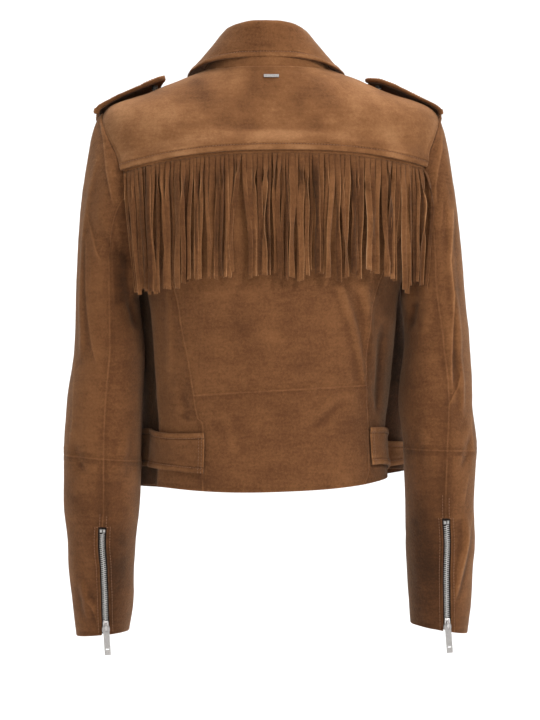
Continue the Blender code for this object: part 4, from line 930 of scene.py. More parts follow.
def tape_material(name):
    """Woven cotton zip tape."""
    made, tree, shader, coordinates = new_shader(name, {"Roughness": 0.9})
    wave = tree.nodes.new("ShaderNodeTexWave")
    wave.inputs["Scale"].default_value = 420.0
    wave.inputs["Distortion"].default_value = 1.5
    wave.bands_direction = "DIAGONAL"
    tree.links.new(coordinates, wave.inputs["Vector"])
    colour_by(tree, wave.outputs["Fac"], TAPE_STOPS, shader.inputs["Base Color"])
    bump = tree.nodes.new("ShaderNodeBump")
    bump.inputs["Distance"].default_value = 0.0002
    tree.links.new(wave.outputs["Fac"], bump.inputs["Height"])
    tree.links.new(bump.outputs["Normal"], shader.inputs["Normal"])
    return made


def thread_material(name):
    made, tree, shader, coordinates = new_shader(name, {"Roughness": 0.6})
    colour_by(tree, noise_node(tree, coordinates, 1200.0), THREAD_STOPS, shader.inputs["Base Color"])
    return made


SUEDE = suede_material("suede")
CLOUDY_SUEDE = suede_material("suede_cloudy", mottle=CLOUDY)
FRINGE_SUEDE = suede_material("fringe_suede", 0.8)
NICKEL = metal_material("nickel", (0.42, 0.41, 0.39), 0.26)
TEETH_METAL = metal_material("teeth_metal", (0.80, 0.78, 0.75), 0.20)
BAR_METAL = metal_material("bar_metal", (0.60, 0.57, 0.55), 0.28)
SNAP_METAL = metal_material("snap_metal", (0.10, 0.09, 0.08), 0.35)
TAPE = tape_material("zip_tape")
THREAD = thread_material("thread")

# ---- painted shade and painted light, partly wear: where the hide is made lighter or darker, on (x, z) as seen from behind ----
# Columns: x, z, half_width, half_height, lighter
WEAR_AND_SHADE = (
    (-0.060, -0.055, 0.090, 0.040, 0.030),
    (0.110, -0.050, 0.080, 0.035, 0.030),
    (0.030, -0.330, 0.090, 0.080, 0.020),
    (-0.060, -0.320, 0.045, 0.060, -0.040),
    (0.100, -0.345, 0.035, 0.070, -0.060),
    (0.085, -0.310, 0.012, 0.050, 0.040),
    (0.138, -0.360, 0.020, 0.070, -0.090),
    (-0.168, -0.371, 0.018, 0.100, -0.110),
    (-0.178, -0.600, 0.018, 0.080, -0.250),
    (-0.218, -0.600, 0.022, 0.080, -0.080),
    (0.180, -0.371, 0.020, 0.100, -0.060),
    (0.1420, -0.366, 0.012, 0.100, -0.110),
    (0.184, -0.605, 0.026, 0.095, -0.320),
    (0.229, -0.371, 0.020, 0.090, -0.050),
    (-0.100, -0.436, 0.016, 0.008, -0.040),
    (0.020, -0.480, 0.100, 0.030, -0.020),
)


def wear_and_shade(points):
    """How much lighter painted light and wear make these points; negative is painted shade."""
    seen = sighted(points)
    total = np.zeros(points.shape[:-1])
    for x, z, wide, high, lighter in WEAR_AND_SHADE:
        total = total + lighter * np.exp(-(((seen[..., 0] - x) / wide) ** 2) - ((seen[..., 1] - z) / high) ** 2)
    return np.where(points[..., 1] < WEAR_AND_SHADE_TO, total, 0.0)


# ---- panels ----
threads = []  # (points, outward directions) of each stitched line
# Painted shade in hollows and painted highlight on ridges: hollows are found by smoothing so many times, beyond so many
# rows from an edge; tone per metre, and at most.
HOLLOW_REACH, HOLLOW_MARGIN, HOLLOW_GAIN, HOLLOW_MOST = 10, 8, 260, 0.08
UNDER_DARKER = 0.16  # a panel's inner side is this much darker
# How light each panel is, on SUEDE_STOPS: partly each panel's own tone, partly painted light and shade, the yoke on top
# lighter and the sleeves' under and lower panels and the right side darker.
PANEL_TONES = {
    "back_lower_center": 0.455, "back_upper_center": 0.480, "back_side_left": 0.430, "back_side_right": 0.400,
    "yoke": 0.560, "front_left": 0.420, "front_right": 0.420,
    "sleeve_top_upper_left": 0.465, "sleeve_under_upper_left": 0.430,
    "sleeve_top_lower_left": 0.425, "sleeve_under_lower_left": 0.400,
    "sleeve_top_upper_right": 0.465, "sleeve_under_upper_right": 0.430,
    "sleeve_top_lower_right": 0.425, "sleeve_under_lower_right": 0.400,
}


def stitch_line(outer, out, distances, edge, offset, first=0.0, last=1.0):
    """Notes a stitched line this far in from an edge of a grid, over this share of its length."""
    d = distances[edge]
    if edge in ("left", "right"):
        d, outer, out = d.T, outer.swapaxes(0, 1), out.swapaxes(0, 1)
    if edge in ("top", "right"):
        d, outer, out = d[::-1], outer[::-1], out[::-1]
    i = np.clip((d < offset).sum(axis=0), 1, len(d) - 1)
    column = np.arange(d.shape[1])
    share = ((offset - d[i - 1, column]) / (d[i, column] - d[i - 1, column]))[:, None]
    line = outer[i - 1, column] * (1 - share) + outer[i, column] * share
    chosen = slice(int(first * (len(line) - 1)), int(last * (len(line) - 1)) + 1)
    threads.append((line[chosen], out[i, column][chosen]))


def sewn_sheet(name, outer, inner, out, grid, tones, stitched, suede=SUEDE, fold=()):
    """out and tones: the directions outwards and how light the outer and inner sides are, at each point of the grid.
    """
    points, faces = closed_sheet(outer, inner)
    piece = new_piece(name + "_suede", points, orient(points, faces), suede, np.stack(tones).reshape(-1), fold=fold)
    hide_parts(name)
    distances = edge_distances(grid)
    for row in stitched:
        stitch_line(outer, out, distances, *row)


def painted_hollow_shade(base, out):
    """Painted shade in a hollow, painted highlight on a ridge."""
    p = base
    for _ in range(HOLLOW_REACH):
        q = np.pad(p, ((1, 1), (1, 1), (0, 0)), mode="edge")
        p = (q[1:-1, 1:-1] * 2 + q[:-2, 1:-1] + q[2:, 1:-1] + q[1:-1, :-2] + q[1:-1, 2:]) / 6
    deep = np.zeros(base.shape[:2])
    n = HOLLOW_MARGIN
    deep[n:-n, n:-n] = ((p - base) * out).sum(axis=-1)[n:-n, n:-n]
    return -np.clip(deep * HOLLOW_GAIN, -HOLLOW_MOST, HOLLOW_MOST)


def fine_panel(name, surface, directions, u, v, kinds, stitched=(), raised=None, suede=SUEDE,
               painted_shade=0.0):
    """A panel as a closed sheet with its seams, creases and stitches. stitched: (edge, offset, first, last) rows."""
    base, out = surface(u, v), directions(u, v)
    distances, tone = edge_distances(base), PANEL_TONES[name]
    height, shade = shape_detail(base, distances, kinds)
    at, by = sharp_folds(base)
    height = height + FOLD_HEIGHT * by * ramp((at + 0.003) / 0.005) * np.exp(-np.maximum(at, 0) / 0.008)
    extra = raised(distances) if raised else 0.0
    outer = pull_in(base + out * (height + extra)[..., None])
    inner = pull_in(base + out * (np.minimum(height, 0) * 0.3 + extra - WALL)[..., None])
    tones = tone + shade + painted_hollow_shade(base, out) + wear_and_shade(base) + painted_shade, np.full(base.shape[:2], tone - UNDER_DARKER)
    fold = [np.concatenate([p.ravel(), np.zeros(p.size)]) for p in (at, by)]
    sewn_sheet(name, outer, inner, out, base, tones, stitched, suede, fold)


# ---- the body ----
def curve_of(v, a):
    """a as a function of v, through these samples."""
    order = np.argsort(v)
    return lambda at: np.interp(at, np.asarray(v)[order], np.asarray(a)[order])


def hole_curve(side, first, last):
    """a by v along the armhole from k = first to k = last, going up."""
    at = armhole(side, np.linspace(first, last, 400))
    return curve_of(at[:, 1], at[:, 0])


back_hole = {side: hole_curve(side, 0, SHOULDER) for side in (-1, 1)}
front_hole = {side: hole_curve(side, SHOULDER, K) for side in (-1, 1)}
princess_a = {side: (lambda v, side=side: princess[side](v)[..., 0]) for side in (-1, 1)}
HOLE_V = [row[3] for row in ARMHOLE]
LOWER_SEAM, SIDE_TOP, YOKE_V = 2.0, HOLE_V[4], HOLE_V[6]
HEM_LIFT, HEM_LIFTED = 0.17, 0.55  # the right front's hem, at its side seam, in v, and over this share of its width


def steady(value):
    return lambda v: np.full_like(np.asarray(v, float), value)


def pieced(split, below, above):
    """One curve below this v and another above it."""
    return lambda v: np.where(np.asarray(v) <= split, below(v), above(v))


u, v = lay(torso, 0.0, LOWER_SEAM, princess_a[-1], princess_a[1])
fine_panel(
    "back_lower_center", torso, torso_normals, u, v,
    {"left": "seam", "right": "seam", "top": "seam", "bottom": "free"},
)

left = pieced(SIDE_TOP, princess_a[-1], back_hole[-1])
right = pieced(SIDE_TOP, princess_a[1], back_hole[1])
u, v = lay(torso, LOWER_SEAM, YOKE_V + LAP_UNDER, left, right)
fine_panel(
    "back_upper_center", torso, torso_normals, u, v,
    {"left": "seam", "right": "seam", "bottom": "seam", "top": "none"},
)

for side in (-1, 1):
    outer_a = pieced(HOLE_V[0], steady(side * 0.5), back_hole[side])
    edges = (outer_a, princess_a[side]) if side < 0 else (princess_a[side], outer_a)
    u, v = lay(torso, 0.0, SIDE_TOP, *edges)
    fine_panel(
        "back_side_" + side_name(side), torso, torso_normals, u, v,
        {side_name(-side): "seam", side_name(side): "seam", "bottom": "free", "top": "none"},
    )


def yoke_rise(distances):
    """The yoke stands out over the fringe along its lower edge."""
    return LAP_RISE * ramp((0.026 - distances["bottom"]) / 0.018)


left = pieced(HOLE_V[9], back_hole[-1], steady(-0.5))
right = pieced(HOLE_V[9], back_hole[1], steady(0.5))
u, v = lay(torso, YOKE_V, NECK_V, left, right)
fine_panel(
    "yoke", torso, torso_normals, u, v,
    {"bottom": "bold", "left": "ditch", "right": "ditch", "top": "seam"},
    [("bottom", TOPSTITCH)], raised=yoke_rise, suede=CLOUDY_SUEDE,
)


def painted_arm_shade(a, v):
    """Painted shade: the front is darker where it lies in the crook of the arm, in the arm's shade, below the armhole.
    """
    return -0.20 * ramp((0.66 - np.abs(a)) / 0.05) * ramp((HOLE_V[0] + 0.8 - v) / 0.8)


for side in (-1, 1):
    outer_a = pieced(HOLE_V[0], steady(side * 0.5), pieced(HOLE_V[9], front_hole[side], steady(side * 0.5)))
    edge = (lambda v, side=side: side * front_edge(v)[..., 0])
    edges = (edge, outer_a) if side < 0 else (outer_a, edge)
    u, v = lay(torso, 0.0, NECK_V, *edges)
    if side > 0:
        hem = np.interp((u[0] - u[0, 0]) / (u[0, -1] - u[0, 0]), (0, HEM_LIFTED), (HEM_LIFT, 0.0))
        v = v + hem[None, :] * np.clip(1 - v / 1.0, 0, 1)
    fine_panel(
        "front_" + side_name(side), torso, torso_normals, u, v,
        {side_name(side): "lapped", side_name(-side): "seam", "bottom": "free", "top": "seam"},
        [(side_name(side), TOPSTITCH)], painted_shade=painted_arm_shade(u, v),
    )


# ---- sleeves ----
ELBOW_W = 4.0  # the seam across the elbow
ZIP_STITCH = 0.0040  # from the zip's opening to its line of stitches
ZIP_FROM = {-1: 0.33, 1: 0.28}  # which starts at this share of a lower panel's length


def sleeve_panel(name, side, low, high, left, right, kinds, stitched=()):
    """A sleeve's panel over w from low to high, between two curves of k. The zip's end has rows of its own."""
    top = ZIP_TOP_W[side]
    surface = lambda k, w: sleeve(side, k, w)
    u, v = lay(surface, low, high, left, right, (top - 0.012, top, top + 0.02) if low else ())

    def directions(k, w):
        """The sleeve's normals, turned at the armhole to meet the body's."""
        out = sleeve_normals(side, k, w)
        if low == 0:
            at = armhole(side, k[0])
            near = sleeve_normals(side, k[0], np.full_like(k[0], 0.02))
            out[0] = mitre(near, torso_normals(at[:, 0], at[:, 1]))
        return out

    fine_panel(name + side_name(side), surface, directions, u, v, kinds, stitched)


def column_width(side, w, outwards):
    """Length of a step of one column beside the back seam."""
    near = sleeve(side, BACK_SEAM, w)
    return np.linalg.norm(sleeve(side, BACK_SEAM + (0.5 if outwards else -0.5), w) - near, axis=-1) * 2


def zip_edge(side, outwards):
    """k of a lower sleeve panel's edge beside the back seam, which opens for the zip."""
    def edge(w):
        w = np.asarray(w, float)
        away = ZIP_HALF_OPENING * (w > ZIP_TOP_W[side] - 0.001) / column_width(side, w, outwards)
        return BACK_SEAM + away if outwards else BACK_SEAM + K - away
    return edge


for side in (-1, 1):
    kinds = {"left": "seam", "right": "seam", "bottom": "ditch", "top": "seam"}
    sleeve_panel("sleeve_top_upper_", side, 0.0, ELBOW_W, steady(BACK_SEAM), steady(INSEAM), kinds)
    sleeve_panel("sleeve_under_upper_", side, 0.0, ELBOW_W, steady(INSEAM), steady(BACK_SEAM + K), kinds)
    kinds = {"left": "seam", "right": "seam", "bottom": "seam", "top": "free"}
    for name, left, right, at_zip in (
        ("sleeve_top_lower_", zip_edge(side, True), steady(INSEAM), "left"),
        ("sleeve_under_lower_", steady(INSEAM), zip_edge(side, False), "right"),
    ):
        sleeve_panel(name, side, ELBOW_W, CUFF_W, left, right, kinds, [(at_zip, ZIP_STITCH, ZIP_FROM[side])])

# ---- collar ----
def real_collar(row):
    a, roll_x, roll_y, roll_z, edge_x, edge_y, edge_z = row
    roll = real_x(roll_x, roll_y), roll_y, real_z(roll_z, roll_y)
    return (a, *roll, real_x(edge_x, edge_y), edge_y, real_z(edge_z, edge_y))


EDGE_IN = 0.0062  # the turned-down edge lies this much closer over the stand, at the middle
COLLAR_STITCH = 0.0070  # from the collar's edges to its line of stitches
COLLAR_UNDER_DARKER, STRAP_UNDER_DARKER = 0.10, 0.14
collar_half = Smooth([real_collar(row) for row in COLLAR], level=False)


def collar_profile(a):
    """Seven points from the neck seam over the roll to the edge, on the side that shows when it is turned down."""
    row, neck = collar_half(abs(a)), torso(a, NECK_V)
    mirror = np.array([1.0 if a >= 0 else -1.0, 1.0, 1.0])
    shift = np.array([COLLAR_SHIFT, 0.0, 0.0])
    roll = row[:3] * mirror + shift
    edge = row[3:] * mirror + shift
    edge[1] += EDGE_IN * ramp((0.75 - abs(a)) / 0.6)
    out = unit(np.array([edge[0] - roll[0], edge[1] - roll[1], 0.0]))
    inwards = unit(np.array([neck[0], neck[1], 0.0]))
    foot = neck - inwards * (WALL + 0.0003) - UP * 0.0025
    return np.array([
        foot,
        foot * 0.5 + roll * 0.5 - out * 0.0025,
        roll - out * 0.0035 - UP * 0.0090,
        roll,
        roll + out * 0.0050 - UP * 0.0030,
        roll * 0.5 + edge * 0.5 + out * 0.0005 + UP * 0.0010,
        edge,
    ])


STAND_TOP, COLLAR_EDGE = 2.0, 6.0  # places down the profile, by its points
samples = np.linspace(-COLLAR[-1][0], COLLAR[-1][0], 161)
along = np.linspace(0, COLLAR_EDGE, 121)
profiles = [Smooth([(i, *p) for i, p in enumerate(collar_profile(a))], level=False)(along) for a in samples]
face = np.array(profiles).swapaxes(0, 1)


def between(values, grid, axis, places):
    """The grid's points at these places, given as values along this axis."""
    grid = np.moveaxis(grid, axis, 0)
    i = np.clip(np.searchsorted(values, places) - 1, 0, len(values) - 2)
    share = ((places - values[i]) / (values[i + 1] - values[i]))[:, None, None]
    return np.moveaxis(grid[i] * (1 - share) + grid[i + 1] * share, 0, axis)


# name, from and to down the profile, tone, edges, the edge at the roll, where it faces (row, sign of y), stitches
for name, low, high, tone, kinds, roll, (row, faces_y), stitched in (
    # The stand's tone is raised against the shadow of the collar turned down over it: painted light.
    ("collar_stand", 0.0, STAND_TOP, 0.640, {"bottom": "seam", "top": "none", "left": "free", "right": "free"},
     "top", (0, 1), []),
    ("collar", STAND_TOP + 0.02, COLLAR_EDGE, 0.470, {"bottom": "none", "top": "bold", "left": "bold", "right": "bold"},
     "bottom", (-1, -1), [("top", COLLAR_STITCH), ("left", COLLAR_STITCH, 0.3), ("right", COLLAR_STITCH, 0.3)]),
):
    down = np.linspace(low, high, 61)
    arc, at = spaced(between(along, face, 0, down)[:, len(samples) // 2])
    part = between(along, face, 0, np.interp(at, arc, down))
    arc, at = spaced(part[-1])
    part = between(samples, part, 1, np.interp(at, arc, samples))
    out = grid_normals(part)
    out = out * np.sign(out[row, out.shape[1] // 2, 1]) * faces_y
    distances = edge_distances(part)
    height, shade = shape_detail(part, distances, kinds)
    outer, inner = pull_in(part + out * height[..., None]), pull_in(part - out * WALL)
    shade = shade + 0.05 * bell(distances[roll], 0.012, 0.010)
    tones = tone + shade + 0.5 * wear_and_shade(part), np.full(part.shape[:2], tone - COLLAR_UNDER_DARKER)
    sewn_sheet(name, outer, inner, out, part, tones, stitched)


# ---- straps laid on the body ----
def tree_of(names):
    """One tree of these pieces' faces, for finding where something rests."""
    points, faces = [], []
    for name in names:
        mesh = bpy.data.objects[name].data
        first = len(points)
        points += [v.co.copy() for v in mesh.vertices]
        faces += [[first + i for i in polygon.vertices] for polygon in mesh.polygons]
    return BVHTree.FromPolygons(points, faces)


def hit(tree, start, direction):
    """Where a ray first meets these faces, if it does."""
    place = tree.ray_cast(Vector(start), Vector(direction))[0]
    return None if place is None else np.array(place)


def strap(name, face, out, tone, thick, kinds, stitched, rests_on):
    """A closed strap whose shown side is this grid."""
    height, shade = shape_detail(face, edge_distances(face), kinds)
    tones = tone + shade + wear_and_shade(face), np.full(face.shape[:2], np.min(tone) - STRAP_UNDER_DARKER)
    sewn_sheet(name, face + out * height[..., None], face - out * thick, out, face, tones, stitched)


body_tree = tree_of([
    "front_left_suede", "front_right_suede", "back_side_left_suede", "back_side_right_suede", "back_lower_center_suede",
])
BELT_WIDTH, BELT_CLEAR, BELT_STITCH = 0.043, 0.0014, 0.0062
BELT_SAG = {-1: 0.0, 1: 0.11}  # how much lower the belt runs over the front, in rows
# The right belt is painted lighter, most where it turns round the side, against the shade there: painted light.
BELT_TONES = {-1: lambda a: 0.455, 1: lambda a: 0.540 + 0.16 * ramp((a - 0.40) / 0.08) * ramp((0.60 - a) / 0.06)}


def smoothed(values, times):
    """The values evened out along their rows."""
    for _ in range(times):
        values = np.pad(values, ((0, 0), (1, 1)), mode="edge")
        values = (values[:, :-2] + values[:, 2:] + 2 * values[:, 1:-1]) / 4
    return values


for side in (-1, 1):
    rows = BELTS[side]
    curve = Smooth(rows[::side])
    ends = sorted((rows[0][0], rows[-1][0]))
    share = stations(BELT_WIDTH, BELT_WIDTH) / BELT_WIDTH
    a = np.linspace(*ends, 600)
    arc, at = spaced(torso(a, curve(a).sum(axis=-1) / 2))
    a = np.interp(at, arc, a)
    bottom, top = np.moveaxis(curve(a), -1, 0)
    v = bottom + (top - bottom) * share[:, None] - BELT_SAG[side] * ramp((a - 0.42) / 0.05)
    a = np.broadcast_to(a[None, :], v.shape)
    bridge = np.maximum(-folds(TORSO_FOLDS, a, v), 0)
    base, out = torso(a, v, bridge), torso_normals(a, v)
    rise = np.zeros(a.shape)
    for i in np.ndindex(a.shape):
        found = hit(body_tree, base[i] + out[i] * 0.04, -out[i])
        if found is not None:
            rise[i] = max(0.0, np.dot(found - base[i], out[i]))
    level = np.maximum(rise, smoothed(np.broadcast_to(rise.max(axis=0), rise.shape), 30))
    face = base + out * (level + BELT_CLEAR + WALL)[..., None]
    root = side_name(-side)
    face = face + out * (0.0006 * bell(edge_distances(face)[root], 0.004, 0.004))[..., None]
    strap(
        "belt_" + side_name(side), face, out, BELT_TONES[side](a), WALL,
        {"bottom": "bold", "top": "bold", "left": "free", "right": "free"},
        [("bottom", BELT_STITCH), ("top", BELT_STITCH), (root, 0.0030), (root, 0.0070)],
        "back_side_" + side_name(side) + "_suede",
    )

# ---- epaulettes ----
EPAULETTE_TONE, EPAULETTE_STITCH = 0.520, 0.0055
EPAULETTE_STITCHED = {"left": (0.03, 0.93), "right": (0.03, 0.93), "bottom": (0.1, 0.9)}  # from and to, as shares
for side in (-1, 1):
    grid = np.array([(real_x(x, 0.0), real_z(z, 0.0), half, drop) for x, z, half, drop in EPAULETTES[side]])
    arc, at = spaced(grid[:, :2], EPAULETTE_STEP)
    along = Smooth([(d, *row) for d, row in zip(arc, grid)])(at)
    share = stations(EPAULETTE_WIDTH, EPAULETTE_WIDTH, EPAULETTE_STEP) / (EPAULETTE_WIDTH / 2) - 1
    x, z, half, drop = (along[:, n][:, None] for n in range(4))
    crown = np.where(share[None, :] < 0, 0.0012, drop) * np.abs(share[None, :]) ** 1.5
    face = np.stack([
        np.broadcast_to(x, (len(x), len(share))), EPAULETTE_Y[side] + half * share[None, :], z - crown,
    ], axis=-1)
    out = grid_normals(face)
    out = out * np.sign(out[len(out) // 2, out.shape[1] // 2, 2])
    strap(
        "epaulette_" + side_name(side), face, out, EPAULETTE_TONE, EPAULETTE_THICK,
        {"left": "bold", "right": "bold", "bottom": "bold", "top": "free"},
        [(edge, EPAULETTE_STITCH, *part) for edge, part in EPAULETTE_STITCHED.items()],
        "yoke_suede",
    )

# ---- fringe ----
STRAND_ROWS = 34
STRAND_ACROSS = (-1.0, -0.74, -0.35, 0.0, 0.35, 0.74, 1.0)
# How far a strand's tip hangs sideways of its root, by its place along the strip.
HANG = Smooth([(0.0, 0.0125), (0.05, 0.0080), (0.12, 0.0030), (0.25, 0.0), (0.90, 0.0), (0.96, 0.0015), (1.0, 0.0025)])
# Where the strands hang apart at their tips, as seen from behind. Columns: x, half_gap, reach
PARTINGS = (
    (-0.1264, 0.0026, 0.006), (-0.1120, 0.0011, 0.005), (-0.0893, 0.0026, 0.006), (-0.0768, 0.0030, 0.007),
    (-0.0312, 0.0078, 0.014), (-0.0020, 0.0010, 0.005), (0.0050, 0.0022, 0.006), (0.0330, 0.0018, 0.005),
    (0.0558, 0.0018, 0.005), (0.0768, 0.0032, 0.007), (0.0978, 0.0014, 0.005), (0.1128, 0.0032, 0.007),
    (0.1368, 0.0034, 0.007), (0.1555, 0.0038, 0.007),
)
BULGE, BULGE_STRANDS = 0.0095, 2.5  # how far the last strands on the right bow outwards, and how many do
# The strip and the strands' joined tops are painted lighter than the strands, against the yoke's shadow over them:
# painted light.
STRIP_TONE, STRAND_TONE, STRAND_BACK_DARKER = 0.500, 0.430, 0.07
FRINGE_OUT = 0.0011  # from the torso's surface to the strip
FRINGE_INSET = 0.007  # from the armholes to the strip's ends, in a
STRIP_THICKER = 0.00008  # than the strands, on each side
STRAND_CLEAR = 0.0006  # between a strand and what is behind it
LAYERS_DEEP = 0.0042  # the strands hang in layers within this
# The share of the strands that turn near their root and near their tip, and from and to how many degrees.
EARLY_TURNS, LATE_TURNS = (0.45, 50, 84), (0.35, 35, 75)
CUT_WIDTHS = (0.62, 1.38)  # of a strand, as shares of the mean


def some_turned(rng, share, least, most):
    """Each strand's turn in degrees, one way or the other, or 0."""
    chosen = rng.random(FRINGE_COUNT) < share
    return np.where(chosen, rng.uniform(least, most, FRINGE_COUNT) * rng.choice([-1, 1], FRINGE_COUNT), 0)


def fringe():
    """The strip under the yoke's edge and the strands cut in it, each laid down row by row on what is behind it."""
    behind = tree_of([
        "back_upper_center_suede", "back_side_left_suede", "back_side_right_suede", "sleeve_top_upper_left_suede",
        "sleeve_top_upper_right_suede", "sleeve_under_upper_left_suede", "sleeve_under_upper_right_suede",
    ])
    ends = armhole_rows[-1][6][1] + FRINGE_INSET, armhole_rows[1][6][1] - FRINGE_INSET
    samples = np.linspace(*ends, 400)
    line = torso(samples, YOKE_V)
    arc = spaced(line)[0]
    tips = Smooth(FRINGE_TIPS)
    middle = FRINGE_OUT + FRINGE_THICK / 2

    def rest(x, z):
        """y of what is behind this place."""
        found = hit(behind, (x, -0.5, z), (0, 1, 0))
        return 1.0 if found is None else found[1]

    # the uncut strip, from behind the yoke's edge down
    down = np.linspace(-0.010, FRINGE_STRIP + 0.0002, 13)[::-1]
    out = torso_normals(samples, YOKE_V)
    strip = (line + out * middle)[None] - down[:, None, None] * UP
    uneven = 0.0004 * noise(strip, 0.012, 61) * ramp(down / 0.002)[:, None]
    strip = strip + out[None] * uneven[..., None]
    half_out = out[None] * (FRINGE_THICK / 2 + STRIP_THICKER)
    points, faces = closed_sheet(strip + half_out, strip - half_out)
    tone = STRIP_TONE + 0.03 * noise(strip, 0.012, 62).ravel()
    piece = new_piece("fringe_strip", points, orient(points, faces), FRINGE_SUEDE, np.concatenate([tone, tone]))
    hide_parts("fringe")

    # what differs from strand to strand: metres, degrees, or shares of its length counted from its root
    rng = np.random.default_rng(11)
    count = FRINGE_COUNT
    wave = np.convolve(rng.normal(0, 1, count + 4), np.ones(5) / 5, "valid")
    sway = 0.0010 * wave + rng.normal(0, 0.0008, count)
    lean = rng.normal(0, 14, count).clip(-30, 30)
    turns = some_turned(rng, *EARLY_TURNS)
    turn_at, turn_long = rng.uniform(0.08, 0.26, count), rng.uniform(0.05, 0.15, count)
    late = some_turned(rng, *LATE_TURNS)
    late_at, late_long = rng.uniform(0.42, 0.85, count), rng.uniform(0.10, 0.22, count)
    slit = rng.uniform(0.0, 0.12, count) ** 1.3
    length = rng.normal(0, 0.0028, count)
    phase = rng.uniform(0, 2 * math.pi, (count, 3))
    curl = rng.normal(0, 1, (count, 3))
    shade = rng.normal(0, 0.066, count)
    depth = rng.permutation(np.linspace(0, LAYERS_DEEP, count))
    edge_light, edge_side = rng.uniform(0.10, 0.30, count), rng.choice([-1, 1], count)
    slant = rng.uniform(-0.35, 0.35, count)
    cut = rng.uniform(*CUT_WIDTHS, count)
    cut = cut * arc[-1] / cut.sum()
    centre = np.cumsum(cut) - cut / 2
    width = cut / 2 * rng.uniform(0.93, 1.0, count)
    points, faces, tones = [], [], []
    across = np.array(STRAND_ACROSS)
    for i in range(count):
        a = np.interp(centre[i], arc, samples)
        top, facing = torso(a, YOKE_V), torso_normals(a, YOKE_V)
        tangent = unit(torso(a + 0.01, YOKE_V) - torso(a - 0.01, YOKE_V)) * [1, 1, 0]
        turned = math.atan2(tangent[1], tangent[0])
        root = top + facing * middle - UP * FRINGE_STRIP
        share = centre[i] / arc[-1]
        plain = root[0] + HANG(share)[0] + sway[i]
        tip_x = plain
        for x, half_gap, reach in PARTINGS:
            off = tip_x - x
            tip_x += math.copysign(half_gap, off) * math.exp(-((off / reach) ** 2))
        bow = BULGE * max(0.0, 1 - (count - 1 - i) / BULGE_STRANDS)
        tip_z = tips(tip_x)[0] + length[i]
        lowest = root[1]
        first = len(points)
        for step in range(STRAND_ROWS + 1):
            t = step / STRAND_ROWS
            settle = t * (1 - t) * 4
            hang = t**1.4
            x = root[0] + (plain - root[0]) * hang + (tip_x - plain) * ramp(t / 0.8)
            x += settle * (0.0009 * math.sin(7 * t + phase[i, 0]) + 0.0007 * curl[i, 0])
            x += bow * math.sin(math.pi * t**0.6)
            z = root[2] + (tip_z - root[2]) * t
            free = ramp((t - slit[i]) / 0.2)
            twist = lean[i] * free + turns[i] * float(bell(t, slit[i] + turn_at[i], turn_long[i]))
            twist += late[i] * float(bell(t, late_at[i], late_long[i]))
            twist += 9 * math.sin(9 * t + phase[i, 1]) * ramp(t / 0.2)
            angle = math.radians(twist) + turned * (1 - 0.6 * ramp(t))
            joined = 1 - ramp((t - slit[i]) / 0.05)
            uneven = 1.0 - 0.06 * t + 0.05 * math.sin(11 * t + phase[i, 2])
            half = cut[i] / 2 * joined + width[i] * (1 - joined) * uneven
            if step:  # clear of what is behind it, and never further back than higher up
                reach = half * abs(math.sin(angle)) + FRINGE_THICK / 2 + STRAND_CLEAR
                lowest = min(lowest, *(rest(x + aside, z) - reach for aside in (0.0, -0.004, 0.004)))
            y = lowest - depth[i] * free - 0.0009 * settle * (1 + math.sin(9 * t + phase[i, 0]))
            wide = np.array([math.cos(angle), math.sin(angle), 0.0])
            deep = np.array([math.sin(angle), -math.cos(angle), 0.0])
            bend = curl[i, 1] * 0.0008 * free
            thin = 1 - 0.75 * np.abs(across) ** 8
            ring = np.array([x, y, z]) + wide * (across * half)[:, None] + deep * (bend * (1 - across**2))[:, None]
            ring[:, 2] += across * half * slant[i] * ramp((t - 0.9) / 0.1)
            front = ring + deep * (FRINGE_THICK / 2 * thin)[:, None]
            back = ring - deep * (FRINGE_THICK / 2 * thin)[:, None]
            points += [*front, *back[::-1]]
            patch = 0.05 * math.sin(4 * t + phase[i, 2]) + 0.07 * ramp((t - 0.94) / 0.04) + shade[i]
            # painted highlight along the strands' cut edges, stronger on one side, partly their own lighter colour;
            # painted shade in the slits between joined strands
            edge = edge_light[i] * np.abs(across) ** 5 * (1 + 0.7 * edge_side[i] * across)
            joint = -0.10 * np.abs(across) ** 8 * (1 - free)
            shown = STRAND_TONE + 0.040 * (1 - free) + (patch + edge) * free + joint
            shown = shown - 0.045 * ramp((share - 0.62) / 0.2) * ramp((t - 0.3) / 0.4)
            tones += [*shown, *(shown - STRAND_BACK_DARKER)]
        faces += loft(first, STRAND_ROWS + 1, 2 * len(across))
    piece = new_piece("fringe_strands", points, faces, FRINGE_SUEDE, tones)
    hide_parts("fringe")


fringe()


# ---- stitches ----
STITCH, STITCH_PITCH, THREAD_RADIUS = 0.0027, 0.0036, 0.00033
# A stitch's profile: place along it as a share of its length, rise and size as shares of the thread's radius.
BEAD = ((-0.5, -0.35, 0.55), (-0.3, 0.45, 1.0), (0.3, 0.45, 1.0), (0.5, -0.35, 0.55))


def sew(name, lines):
    """Every stitch of these lines, each a short bead of thread that dips into the hide at its ends."""
    points, faces = [], []
    around = np.linspace(0, 2 * math.pi, 5, endpoint=False)
    places = lambda long: np.arange(STITCH_PITCH / 2, long - STITCH_PITCH / 2, STITCH_PITCH)
    for line, out in lines:
        for at, along, up in places_along(line, out, places):
            across = unit(np.cross(up, along))
            up = np.cross(along, across)
            first = len(points)
            for place, rise, size in BEAD:
                centre = at + along * place * STITCH + up * rise * THREAD_RADIUS
                points += [centre + (across * math.cos(t) + up * math.sin(t)) * THREAD_RADIUS * size for t in around]
            faces += loft(first, len(BEAD), len(around))
    piece = new_piece(name, points, faces, THREAD)


sew("stitching", threads)

